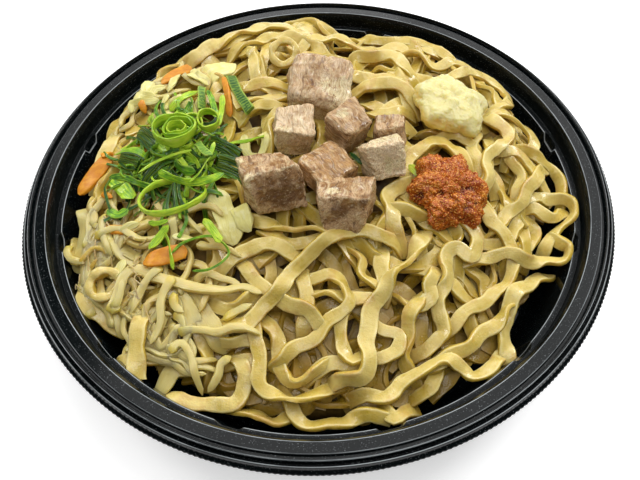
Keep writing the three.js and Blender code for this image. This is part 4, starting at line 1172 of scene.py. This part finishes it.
def paste_finish(settings):
    """Chili paste: red-brown and oily, with orange grains, and painted shade in its folds and in the pits
    between the grains.
    """
    finish = Finish("chili_paste", subsurface_weight=0.08, subsurface_scale=0.002,
                    subsurface_radius=(1.0, 0.3, 0.05), specular_ior_level=0.25, coat_weight=0.25,
                    coat_roughness=0.12)
    place = finish.place()
    grains = finish.noise(place, 0.55, detail=2)
    cloud = finish.noise(place, 4, detail=4)
    tone = finish.attribute("tone")
    hollow = finish.attribute("hollow")
    # Painted shade: darker where the mound is hollow.
    shade = (cloud - 0.5) * 1.6 + (tone - 0.5) * 0.2 + 0.58 - hollow * 0.5
    base = finish.ramp(shade, [(0.05, (0.12, 0.01, 0.0)), (0.4, settings.paste_colour),
                               (0.75, (0.50, 0.125, 0.002)), (1.0, (0.68, 0.26, 0.015))])
    grained = finish.mix(grains.between(0.55, 0.65) * 0.9, base, (0.93, 0.50, 0.11))
    # Painted shade in the pits between the grains.
    pit_shaded = finish.mix((1 - grains).between(0.58, 0.72) * 0.7, grained, (0.13, 0.012, 0.0))
    return finish.wire(base_color=pit_shaded, roughness=0.22 + grains * 0.3,
                       normal=finish.bump(grains, 0.35, 0.9))


def core_finish():
    """The shaded middle of the heap: noodle seen only through gaps, painted dark brown as shade and sauce.
    """
    finish = Finish("sauced_heap", specular_ior_level=0.2)
    place = finish.place()
    cloud = finish.noise(place, 7)
    # Painted shade: the dark brown stands for the shaded, sauced noodles deep in the heap.
    base = finish.mix(cloud.between(0.3, 0.7), (0.06, 0.032, 0.008), (0.20, 0.12, 0.024))
    return finish.wire(base_color=base, roughness=0.35 + cloud * 0.3, normal=finish.bump(cloud, 1.0, 0.6))


def floor_finish(settings):
    """The pale floor, faintly uneven, with a glow that keeps it paler than its shadows would."""
    finish = Finish("pale_floor", specular_ior_level=0.1, emission_strength=0.45,
                    emission_color=(1, 1, 1, 1))
    place = finish.place()
    cloud = finish.noise(place, 60)
    colour = settings.floor_colour
    shade = tuple(c * 0.985 for c in colour)
    return finish.wire(base_color=finish.mix(cloud, colour, shade), roughness=0.75 + cloud * 0.1)


# ------------------------------------------------------------------ makers


@functools.cache
def strip_maker():
    """Runs a soft-cornered bar along lines: noodles, shreds, rings and slices."""
    maker = Maker("strip_along_lines", {"Width": float, "Corners": int, "Ripple": float})
    curve = maker.node("GeometryNodeMeshToCurve", None, {"Mesh": maker.geometry})
    curve = maker.node("GeometryNodeSetCurveNormal", {"mode": "FREE"},
                       {"Curve": curve, "Normal": maker.named("side", "FLOAT_VECTOR")})
    up = maker.vector("CROSS_PRODUCT", maker.node("GeometryNodeInputTangent"),
                      maker.node("GeometryNodeInputNormal"))
    curve = maker.stored(curve, "up", up, kind="FLOAT_VECTOR")
    circle = maker.node("GeometryNodeCurvePrimitiveCircle", None,
                        {"Resolution": maker.input("Corners"), "Radius": 1.0})
    corner = maker.node("GeometryNodeInputPosition")
    x, y = (maker.node("ShaderNodeSeparateXYZ", None, {0: corner}, out=k) for k in (0, 1))
    square_x, square_y = (v.function("SIGN") * abs(v) ** 0.4 for v in (x, y))
    circle = maker.stored(circle, "across", square_x)
    circle = maker.stored(circle, "rise", square_y)
    half = maker.input("Width") * 0.5
    circle = maker.node("GeometryNodeSetPosition", None, {
        "Geometry": circle, "Position": maker.xyz(square_x * half, square_y * half)})
    mesh = maker.node("GeometryNodeCurveToMesh", None, {
        "Curve": curve, "Profile Curve": circle, "Scale": maker.named("size"), "Fill Caps": True})
    pressed = (maker.named("flat") - 1) * maker.named("rise") * maker.named("size") * half
    offset = maker.node("ShaderNodeVectorMath", {"operation": "SCALE"},
                        {0: maker.named("up", "FLOAT_VECTOR"), "Scale": pressed})
    mesh = maker.node("GeometryNodeSetPosition", None, {"Geometry": mesh, "Offset": offset})
    mesh = maker.rippled(mesh, 0.008, maker.input("Ripple"))
    return maker.finished(maker.rippled(mesh, 0.003, maker.input("Ripple") * 0.35))


@functools.cache
def plate_maker():
    """Turns the plate's section round its axis, with ledges, flutes and a knurled edge."""
    maker = Maker("turned_plate", {"Around": int, "Rows": int, "Ledges": int, "First Flute": float,
                                   "Flute Depth": float, "Flute Share": float, "Tooth Depth": float})
    around, rows = maker.input("Around"), maker.input("Rows")
    grid = maker.node("GeometryNodeMeshGrid", None, {"Vertices X": around + 1, "Vertices Y": rows})
    index = maker.node("GeometryNodeInputIndex")
    row = index % rows
    column = (index / rows).function("FLOOR")

    def sampled(value, kind):
        return maker.node("GeometryNodeSampleIndex", {"data_type": kind},
                          {"Geometry": maker.geometry, "Value": value, "Index": row})

    section = sampled(maker.node("GeometryNodeInputPosition"), "FLOAT_VECTOR")
    flute, tooth = (sampled(maker.named(name), "FLOAT") for name in ("flute", "tooth"))
    radius, height = (maker.node("ShaderNodeSeparateXYZ", None, {0: section}, out=k) for k in (0, 2))
    turned = column / around
    along_ledge = ((turned - maker.input("First Flute")) * maker.input("Ledges") + 0.5) % 1
    from_flute = abs(along_ledge - 0.5) * 2
    in_flute = 1 - (from_flute - maker.input("Flute Share")).between(-0.05, 0.05)
    out = in_flute * flute * maker.input("Flute Depth") - (column % 2) * tooth * maker.input("Tooth Depth")
    angle = turned * math.tau
    radius = radius + out
    height = height - (column % 2) * tooth * maker.input("Tooth Depth")
    placed = maker.xyz(radius * angle.function("COSINE"), radius * angle.function("SINE"), height)
    mesh = maker.node("GeometryNodeSetPosition", None, {"Geometry": grid, "Position": placed})
    mesh = maker.node("GeometryNodeMergeByDistance", None, {"Geometry": mesh, "Distance": 1e-6})
    return maker.finished(mesh)


@functools.cache
def crumb_maker():
    """Scatters uneven crumbs over a mound and joins them to it."""
    maker = Maker("crumbs_on_mound", {"Spacing": float, "Density": float, "Crumb": float, "Seed": int})
    seed = maker.input("Seed")
    points = maker.node("GeometryNodeDistributePointsOnFaces", {"distribute_method": "POISSON"}, {
        "Mesh": maker.geometry, "Distance Min": maker.input("Spacing"),
        "Density Max": maker.input("Density"), "Seed": seed})
    ball = maker.node("GeometryNodeMeshIcoSphere", None, {"Radius": maker.input("Crumb"), "Subdivisions": 2})
    ball = maker.rippled(ball, 0.0012, maker.input("Crumb") * 0.55)
    size = [maker.random(0.45, 1.25, seed + k) for k in (1, 2, 3)]
    spin = [maker.random(0.0, math.tau, seed + k) for k in (4, 5, 6)]
    crumbs = maker.node("GeometryNodeInstanceOnPoints", None, {
        "Points": points, "Instance": ball, "Scale": maker.xyz(*size), "Rotation": maker.xyz(*spin)})
    crumbs = maker.stored(crumbs, "tone", maker.random(0.0, 1.0, seed + 7), "INSTANCE")
    both = maker.node("GeometryNodeJoinGeometry", None, {"Geometry": [maker.geometry, crumbs]})
    return maker.finished(both)


# ------------------------------------------------------------------ the pieces


def broken_section(corners, reach, margin):
    """The corners of a section with each inner corner broken by a narrow slant. A margin on both
    sides of it keeps the flats beside it flat. A corner is radius, height, flute share, tooth share."""
    corners = [np.array(corner, float) for corner in corners]
    line = [corners[0]]
    for before, here, after in zip(corners, corners[1:], corners[2:]):
        for way, distances in ((before - here, (reach + margin, reach)),
                               (after - here, (reach, reach + margin))):
            length = np.linalg.norm(way[:2])
            line += [here + way * min(0.47, distance / length) for distance in distances]
    return [*line, corners[-1]]


def make_plate(settings):
    """The plate: its section runs over the inside, round the edge and back underneath."""
    band = FLANGE_HEIGHT + BAND_RISE
    inner = [(0, SHEET), (FLOOR_RADIUS * 0.5, SHEET), (FLOOR_RADIUS, SHEET),
             (FLOOR_RADIUS + 2.2, SHEET + 2.4), (LEDGE_RADIUS, LEDGE_HEIGHT + 0.8, 1),
             (LEDGE_RADIUS + 2.3, LEDGE_HEIGHT + 0.9, 0.1), (LEDGE_RADIUS + 3.1, band - 1.9),
             (BEAD_RADIUS - 5.6, band), (BEAD_RADIUS - 1.6, band + 0.1), (BEAD_RADIUS - 1.1, band - 1.2),
             (BEAD_RADIUS - 0.6, band - 1.2), (BEAD_RADIUS, FLANGE_HEIGHT + BEAD_RISE),
             (BEAD_RADIUS + 0.7, FLANGE_HEIGHT + BEAD_RISE), (BEAD_RADIUS + 1.2, FLANGE_HEIGHT + 0.4),
             (BEAD_RADIUS + 1.6, FLANGE_HEIGHT + 0.4), (BEAD_RADIUS + 1.9, FLANGE_HEIGHT + 1.4),
             (BEAD_RADIUS + 2.5, FLANGE_HEIGHT + 1.4), (BEAD_RADIUS + 2.9, FLANGE_HEIGHT)]
    edge = [(PLATE_RADIUS - 1.4, FLANGE_HEIGHT - 0.1, 0, 0.2),
            (PLATE_RADIUS - 0.5, FLANGE_HEIGHT - 0.4, 0, 1),
            (PLATE_RADIUS, FLANGE_HEIGHT - 0.8, 0, 1), (PLATE_RADIUS, FLANGE_HEIGHT - SHEET - 0.5, 0, 1),
            (PLATE_RADIUS - 1.3, FLANGE_HEIGHT - SHEET - 0.5, 0, 0.2)]
    outer = [(BEAD_RADIUS + 1.9, FLANGE_HEIGHT - SHEET), (BEAD_RADIUS - 0.4, band - 0.9),
             (BEAD_RADIUS - 5.2, band - 1.6), (LEDGE_RADIUS + 3.6, LEDGE_HEIGHT + 0.2, 0.1),
             (LEDGE_RADIUS + 1, LEDGE_HEIGHT - 0.8, 1), (FLOOR_RADIUS + 3.3, 2.6),
             (FLOOR_RADIUS + 0.6, 0), (FLOOR_RADIUS * 0.5, 0), (0, 0)]
    corners = [(*corner, 0, 0)[:4] for corner in inner + edge + outer]
    section = np.array(broken_section(corners, reach=0.2, margin=0.08))
    points = np.column_stack([section[:, 0], np.zeros(len(section)), section[:, 1]])
    mesh = solid_mesh("plate_section", points, [], flute=section[:, 2], tooth=section[:, 3])
    plate = plate_maker().run("plate_shell", mesh, material=plate_finish(settings),
                              around=settings.plate_teeth * 2, rows=len(section), ledges=LEDGES,
                              first_flute=FLUTE_ANGLE / 360, flute_depth=FLUTE_DEPTH * MM,
                              flute_share=FLUTE_SHARE, tooth_depth=TOOTH_DEPTH * MM)
    finish_piece(plate, ["plate"])


def make_strips(name, lines, material, nodes=(), corners=14, ripple=0.0):
    """Strips of one kind as one piece."""
    for line in lines:
        line.size = line.size * line.width / NOODLE_WIDTH
    mesh = line_mesh(name, lines)
    piece = strip_maker().run(name, mesh, material=material, width=NOODLE_WIDTH * MM, corners=corners,
                              ripple=ripple * MM)
    finish_piece(piece, nodes)


def make_core():
    """The heap's hidden middle, seen only as shade between the noodles."""
    rings, around = 30, 90
    points, faces = [(0, 0, float(heap_top(0, 0)) - CORE_DEPTH)], []
    for i in range(1, rings + 1):
        for k in range(around):
            angle = k / around * math.tau
            reach = CORE_RADIUS * i / rings
            x, y = reach * math.cos(angle), reach * math.sin(angle)
            points.append((x, y, heap_top(x, y) - CORE_DEPTH - (4 if i == rings else 0)))
    points = np.array(points)
    points[:, 2] += lumps(points, 9) * 2 + lumps(points, 3.5, 2)
    bottom = [(FLOOR_RADIUS * 0.95 * math.cos(k / around * math.tau),
               FLOOR_RADIUS * 0.95 * math.sin(k / around * math.tau), SHEET + 0.3) for k in range(around)]
    points = np.vstack([points, bottom, [(0, 0, SHEET + 0.3)]])
    for k in range(around):
        nxt = (k + 1) % around
        faces.append((0, 1 + k, 1 + nxt))
        for i in range(rings):
            a, b = 1 + i * around + k, 1 + i * around + nxt
            faces.append((a, a + around, b + around, b))
        last = 1 + rings * around
        faces.append((last + nxt, last + k, len(points) - 1))
    core = add_object("heap_core", solid_mesh("heap_core", points, faces))
    core.data.materials.append(core_finish())
    finish_piece(core, ["noodles"])


def cube_grid(parts):
    """Points on a cube from -1 to 1 with parts cells a side, and its faces."""
    work = bmesh.new()
    bmesh.ops.create_cube(work, size=2)
    bmesh.ops.subdivide_edges(work, edges=work.edges, cuts=parts - 1, use_grid_fill=True)
    work.verts.ensure_lookup_table()
    points = np.array([vertex.co for vertex in work.verts])
    faces = [[vertex.index for vertex in face.verts] for face in work.faces]
    work.free()
    return points, faces


def near_spots(shape, spots):
    """1 at the middle of each spot, falling to 0 at its reach."""
    share = np.zeros(len(shape))
    for place, reach in spots:
        away = np.linalg.norm(shape - np.array(place), axis=1)
        share = np.maximum(share, np.clip(1.3 * (1 - away / reach), 0, 1))
    return share


def pulled(shape, pulls):
    """How far each point of a cube from -1 to 1 moves when its corners are pulled."""
    moved = np.zeros_like(shape)
    for corner, pull in pulls:
        moved += np.prod((1 + shape * corner) / 2, axis=1)[:, None] * pull
    return moved


def make_pork(settings):
    """The cubes of pork: rounded, pulled out of true at their corners, fibrous and torn."""
    finish = pork_finish(settings)
    for number, piece in enumerate(PORK, 1):
        dice = random.Random(number * 31)
        cube, faces = cube_grid(PORK_CELLS)
        soft = piece["soft"] * 0.65 + 0.04
        kernel = np.clip(cube, soft - 1, 1 - soft)
        spread = cube - kernel
        spread /= np.maximum(np.linalg.norm(spread, axis=1), 1e-9)[:, None]
        shape = kernel + spread * soft
        fat = near_spots(shape, piece["fat"])
        corners = itertools.product((-1, 1), repeat=3)
        loose = [(corner, [dice.uniform(-CORNER_PLAY, CORNER_PLAY) for _ in range(3)])
                 for corner in corners]
        local = shape * np.array(piece["size"]) / 2 + pulled(shape, loose + piece.get("pull", []))
        local = local + 1.1 * np.stack([lumps(local, 8, number * 5 + k) for k in range(3)], 1)
        fibre = lumps(local * (1, 0.2, 1), 1.0, number)
        rough = lumps(local, 2.6, number + 30)
        torn = lumps(local * (1, 0.5, 1), 1.4, number + 60)
        # How near each point lies to an edge, where the painted highlight falls.
        edge = np.clip((np.sort(np.abs(cube), axis=1)[:, 1] - 0.7) / 0.3, 0, 1)
        local = local + spread * (0.22 * fibre + 0.35 * rough + torn * (0.1 + 0.4 * edge))[:, None]
        yaw, pitch, roll = (math.radians(angle) for angle in piece["turn"])
        turn = np.array(Matrix.Rotation(yaw, 3, "Z") @ Matrix.Rotation(pitch, 3, "X")
                        @ Matrix.Rotation(roll, 3, "Y"))
        at_x, at_y, lift = piece["at"]
        placed = local @ turn.T + (at_x, at_y, heap_top(at_x, at_y) + lift)
        # dark holds the spots of searing and painted shade.
        mesh = solid_mesh(f"pork_cube_{number}", placed, faces, grain=local + (number * 40, 0, 0), fat=fat,
                          dark=near_spots(shape, piece["dark"]), edge=edge,
                          tan=np.full(len(cube), piece.get("tan", 0)),
                          pale=np.full(len(cube), piece["pale"]))
        cube_piece = add_object(mesh.name, mesh)
        mesh.materials.append(finish)
        finish_piece(cube_piece, [f"pork_{number}"])


def mound_mesh(name, mound):
    """A mound on the heap: a flattened dome with a scalloped edge and lumps, closed underneath."""
    rings, around = 110, 210
    at_x, at_y = mound.at
    base = float(heap_top(at_x, at_y))
    slope_x, slope_y = ((heap_top(at_x + dx, at_y + dy) - heap_top(at_x - dx, at_y - dy)) / 2
                        for dx, dy in ((1, 0), (0, 1)))
    points, low, faces = [], [], []
    for i in range(rings + 1):
        latitude = (i / rings - 0.5) * math.pi
        for k in range(around):
            angle = k / around * math.tau
            star = 1 + mound.depth * math.cos(mound.points * angle + mound.seed)
            reach = math.cos(latitude) ** 0.8 * star
            x, y = reach * mound.radius[0] * math.cos(angle), reach * mound.radius[1] * math.sin(angle)
            up = math.sin(latitude)
            z = base + x * slope_x + y * slope_y + up * (mound.rise if up > 0 else 4)
            points.append((at_x + x, at_y + y, z))
            left = -(math.cos(angle) + math.sin(angle)) / math.sqrt(2)
            low.append((1 - max(0.0, up)) * max(0.0, 0.5 + 0.7 * left))
    points = np.array(points)
    middle = np.array([at_x, at_y, base])
    outward = points - middle
    outward /= np.maximum(np.linalg.norm(outward, axis=1), 1e-9)[:, None]
    swell = sum(depth * lumps(points, size, mound.seed + k) for k, (size, depth) in enumerate(mound.lumps))
    swell += sum(depth * (3 * np.abs(lumps(points, size, mound.seed + 20)) - 0.6)
                 for size, depth in mound.blobs)
    points += outward * swell[:, None]
    hollow = np.clip(-swell / 1.5, 0, 1)
    for i in range(rings):
        for k in range(around):
            a, b = i * around + k, i * around + (k + 1) % around
            faces.append((a, b, b + around, a + around))
    mesh = solid_mesh(name, points, faces, low=low, hollow=hollow, tone=np.full(len(points), 0.5))
    work = bmesh.new()
    work.from_mesh(mesh)
    bmesh.ops.remove_doubles(work, verts=work.verts, dist=0.02 * MM)
    work.to_mesh(mesh)
    work.free()
    return mesh


def make_garlic(settings):
    """The mound of grated garlic."""
    garlic = add_object("grated_garlic", mound_mesh("grated_garlic", GARLIC))
    garlic.data.materials.append(garlic_finish(settings))
    finish_piece(garlic, ["garlic"])


def make_paste(settings):
    """The spoonful of chili paste, with crumbs over it."""
    paste = crumb_maker().run("chili_paste_mound", mound_mesh("paste_mound", PASTE), spacing=1.0 * MM,
                              density=400000.0, crumb=0.45 * MM, seed=9, material=paste_finish(settings))
    finish_piece(paste, ["chili_paste"])


# ------------------------------------------------------------------ the stage

# The camera's place and aim, worked out from the plate's outline in a 640 x 480 picture.
CAMERA_PLACE = Vector((0.000575, -0.17587, 0.24106))
CAMERA_AHEAD = Vector((0, 0.5783, -0.8158))
CAMERA_ROLL = math.radians(-2.37)
CAMERA_LENS = 38.45
SENSOR_WIDTH = 36
FLOOR_REACH = 3000       # from the middle to each side, in millimetres

# Each lamp's name, the way to it, its distance and size in metres, and its brightness.
LAMPS = [
    ("soft_back", (0.27, 0.52, 0.81), 1.6, 1.8, 2.25),
    ("low_back", (-0.15, 0.80, 0.58), 1.6, 0.9, 1.7),
    ("left", (-0.66, 0.36, 0.66), 1.3, 0.4, 9),
    ("right", (0.66, 0.36, 0.66), 1.3, 0.4, 9),
    ("top", (0, -0.35, 1), 1.4, 0.9, 2.6),
]


def make_stage(settings):
    """The camera, the floor, the light from all round and the lamps."""
    scene = bpy.context.scene
    data = bpy.data.cameras.new("camera")
    data.lens = CAMERA_LENS
    data.sensor_width = SENSOR_WIDTH
    data.clip_start = 0.01
    camera = bpy.data.objects.new("camera", data)
    scene.collection.objects.link(camera)
    aim = CAMERA_AHEAD.to_track_quat("-Z", "Y").to_matrix() @ Matrix.Rotation(CAMERA_ROLL, 3, "Z")
    camera.matrix_world = Matrix.Translation(CAMERA_PLACE) @ aim.to_4x4()
    scene.camera = camera
    corners = [(FLOOR_REACH * x, FLOOR_REACH * y, 0) for x, y in ((-1, -1), (1, -1), (1, 1), (-1, 1))]
    floor = add_object("floor", solid_mesh("floor", corners, [(0, 1, 2, 3)]))
    floor.data.materials.append(floor_finish(settings))
    world = bpy.data.worlds.new("studio")
    world.use_nodes = True
    world.node_tree.nodes["Background"].inputs["Color"].default_value = (1, 1, 1, 1)
    world.node_tree.nodes["Background"].inputs["Strength"].default_value = settings.fill_light
    scene.world = world
    scene.view_settings.view_transform = "Standard"
    for name, way, distance, size, brightness in LAMPS:
        lamp = bpy.data.lights.new(name, "AREA")
        lamp.size = size
        lamp.energy = brightness * settings.lamp_share * math.pi * size * size
        light = bpy.data.objects.new(name, lamp)
        light.location = Vector(way).normalized() * distance
        light.rotation_mode = "QUATERNION"
        light.rotation_quaternion = Vector(way).to_track_quat("Z", "Y")
        scene.collection.objects.link(light)


# ------------------------------------------------------------------ settings, operators and panel


def colour_property(name, description, default):
    return bpy.props.FloatVectorProperty(name=name, description=description, default=default,
                                         subtype="COLOR", size=3, min=0, max=1)


class PlateSettings(bpy.types.PropertyGroup):
    plate_colour: colour_property("Plastic", "Colour of the formed sheet", (0.0012, 0.0026, 0.003))
    # Pale colour of the painted highlight lines on the ridges, also used for the dust specks.
    plate_glint_and_dust: colour_property("Worn plastic", "Colour of the worn ridges", (0.38, 0.41, 0.42))
    plate_roughness: bpy.props.FloatProperty(
        name="Roughness", description="Least roughness of the plastic", default=0.08, min=0, max=1,
        subtype="FACTOR")
    plate_teeth: bpy.props.IntProperty(
        name="Teeth", description="Teeth of the knurled edge", default=393, min=60, max=500)


class NoodleSettings(bpy.types.PropertyGroup):
    noodle_light: colour_property("Light", "Colour of the palest noodle", (0.71, 0.56, 0.175))
    noodle_dark: colour_property("Dark", "Colour of the darkest noodle", (0.54, 0.375, 0.035))
    # Painted highlight along a noodle's corners.
    noodle_edge_highlight: colour_property("Edge", "Colour along a noodle's corners", (0.90, 0.79, 0.40))
    # Painted shade on a noodle's narrow sides.
    noodle_side_shade: colour_property("Side", "Colour of a noodle's narrow sides", (0.57, 0.40, 0.05))
    # Colour of the painted shade and sauce on noodles deep in the heap.
    noodle_sauce_and_shade: colour_property("Soaked", "Noodle deep in the heap", (0.25, 0.14, 0.005))
    ripple: bpy.props.FloatProperty(
        name="Ripple", description="How far a noodle strays from its line, in millimetres", default=0.6,
        min=0, max=3)


class ToppingSettings(bpy.types.PropertyGroup):
    pork_light: colour_property("Pork, light", "Pale lean pork", (0.62, 0.425, 0.235))
    pork_dark: colour_property("Pork, dark", "Dark lean pork", (0.36, 0.195, 0.065))
    # Colour of the searing and painted shade on the pork.
    pork_seared_and_shade: colour_property("Pork, seared", "Seared faces of the pork", (0.17, 0.078, 0.026))
    pork_fat: colour_property("Pork, fat", "Fat of the pork", (0.82, 0.71, 0.42))
    garlic_colour: colour_property("Garlic", "Grated garlic", (0.68, 0.61, 0.255))
    paste_colour: colour_property("Chili paste", "Chili paste", (0.37, 0.06, 0.001))
    onion_light: colour_property("Onion, light", "Palest spring onion", (0.42, 0.64, 0.02))
    onion_dark: colour_property("Onion, dark", "Darkest spring onion", (0.02, 0.09, 0.003))
    sprout_light: colour_property("Sprout, light", "Palest bean sprout", (0.68, 0.54, 0.185))
    sprout_dark: colour_property("Sprout, dark", "Darkest bean sprout", (0.57, 0.41, 0.11))
    carrot_colour: colour_property("Carrot", "Sliced carrot", (0.68, 0.235, 0.004))
    cabbage_colour: colour_property("Cabbage", "Cooked cabbage", (0.86, 0.79, 0.29))


class StageSettings(bpy.types.PropertyGroup):
    floor_colour: colour_property("Floor", "Colour of the floor", (0.93, 0.93, 0.93))
    lamp_share: bpy.props.FloatProperty(
        name="Lamps", description="How bright the lamps are", default=1, min=0)
    fill_light: bpy.props.FloatProperty(
        name="Fill light", description="Strength of the light from all round", default=0.08, min=0)


class PieceOperator:
    """What the operators share."""

    bl_options = {"REGISTER", "UNDO"}


class NOODLES_OT_stage(PieceOperator, bpy.types.Operator):
    """Add the floor, the lamps and the camera"""

    bl_idname = "noodles.stage"
    bl_label = "Stage"

    def execute(self, context):
        make_stage(context.scene.noodle_stage)
        return {"FINISHED"}


class NOODLES_OT_plate(PieceOperator, bpy.types.Operator):
    """Add the black plate"""

    bl_idname = "noodles.plate"
    bl_label = "Plate"

    def execute(self, context):
        make_plate(context.scene.noodle_plate)
        return {"FINISHED"}


class NOODLES_OT_noodles(PieceOperator, bpy.types.Operator):
    """Add the heap's core and the noodles on it"""

    bl_idname = "noodles.noodles"
    bl_label = "Noodles"

    def execute(self, context):
        settings = context.scene.noodle_noodles
        make_core()
        finish = noodle_finish(settings)
        make_strips("noodles_below", laid().below, finish, corners=10, ripple=settings.ripple)
        make_strips("noodles_on_top", [*laid().above, laid().cut], finish, corners=16,
                    ripple=settings.ripple)
        return {"FINISHED"}


class NOODLES_OT_pork(PieceOperator, bpy.types.Operator):
    """Add the cubes of simmered pork"""

    bl_idname = "noodles.pork"
    bl_label = "Pork"

    def execute(self, context):
        make_pork(context.scene.noodle_toppings)
        return {"FINISHED"}


class NOODLES_OT_relishes(PieceOperator, bpy.types.Operator):
    """Add the grated garlic and the chili paste"""

    bl_idname = "noodles.relishes"
    bl_label = "Garlic and chili paste"

    def execute(self, context):
        make_garlic(context.scene.noodle_toppings)
        make_paste(context.scene.noodle_toppings)
        return {"FINISHED"}


class NOODLES_OT_vegetables(PieceOperator, bpy.types.Operator):
    """Add the cabbage, bean sprouts and carrot"""

    bl_idname = "noodles.vegetables"
    bl_label = "Cabbage, sprouts and carrot"

    def execute(self, context):
        settings = context.scene.noodle_toppings
        cabbage = cabbage_finish(settings)
        for number, line in enumerate(laid().cabbage, 1):
            make_strips(f"cabbage_slice_{number}", [line], cabbage, [f"cabbage_{number}"],
                        corners=20, ripple=1.2)
        make_strips("cabbage_bits", laid().cabbage_bits, cabbage, corners=16, ripple=1.0)
        make_strips("bean_sprouts", [*laid().slips, *laid().sprouts], sprout_finish(settings),
                    ["sprouts"], corners=12, ripple=0.5)
        carrot = carrot_finish(settings)
        make_strips("carrot_bits", laid().carrot_bits, carrot, corners=12, ripple=0.5)
        for number, line in enumerate(laid().carrots, 1):
            make_strips(f"carrot_slice_{number}", [line], carrot, [f"carrot_{number}"],
                        corners=16, ripple=0.3)
        return {"FINISHED"}


class NOODLES_OT_onion(PieceOperator, bpy.types.Operator):
    """Add the cut spring onion and the onion leaf"""

    bl_idname = "noodles.onion"
    bl_label = "Spring onion"

    def execute(self, context):
        settings = context.scene.noodle_toppings
        make_strips("cut_spring_onion", laid().shreds, onion_finish(settings), ["spring_onion"],
                    corners=10, ripple=0.4)
        leaf = leaf_finish()
        make_strips("onion_leaf_blade", [laid().leaf], leaf, ["onion_leaf"], corners=16,
                    ripple=0.4)
        make_strips("onion_leaf_slips", laid().leaves, leaf, corners=16, ripple=0.4)
        return {"FINISHED"}


OPERATORS = (NOODLES_OT_stage, NOODLES_OT_plate, NOODLES_OT_noodles, NOODLES_OT_pork,
             NOODLES_OT_relishes, NOODLES_OT_vegetables, NOODLES_OT_onion)


class NOODLES_PT_pieces(bpy.types.Panel):
    """Lists the pieces and their settings"""

    bl_idname = "NOODLES_PT_pieces"
    bl_label = "Mixed noodles"
    bl_space_type = "VIEW_3D"
    bl_region_type = "UI"
    bl_category = "Noodles"

    def draw(self, context):
        for group in SETTINGS:
            box = self.layout.box()
            settings = getattr(context.scene, group)
            for name in settings.bl_rna.properties.keys():
                if name not in ("name", "rna_type"):
                    box.prop(settings, name)
        for operator in OPERATORS:
            self.layout.operator(operator.bl_idname)


SETTINGS = {"noodle_plate": PlateSettings, "noodle_noodles": NoodleSettings,
            "noodle_toppings": ToppingSettings, "noodle_stage": StageSettings}
CLASSES = (*SETTINGS.values(), *OPERATORS, NOODLES_PT_pieces)


def register():
    for one in CLASSES:
        bpy.utils.register_class(one)
    for name, group in SETTINGS.items():
        setattr(bpy.types.Scene, name, bpy.props.PointerProperty(type=group))


def unregister():
    for name in SETTINGS:
        delattr(bpy.types.Scene, name)
    for one in reversed(CLASSES):
        bpy.utils.unregister_class(one)


def main():
    register()
    for operator in OPERATORS:
        group, name = operator.bl_idname.split(".")
        getattr(getattr(bpy.ops, group), name)()


if __name__ == "__main__":
    main()
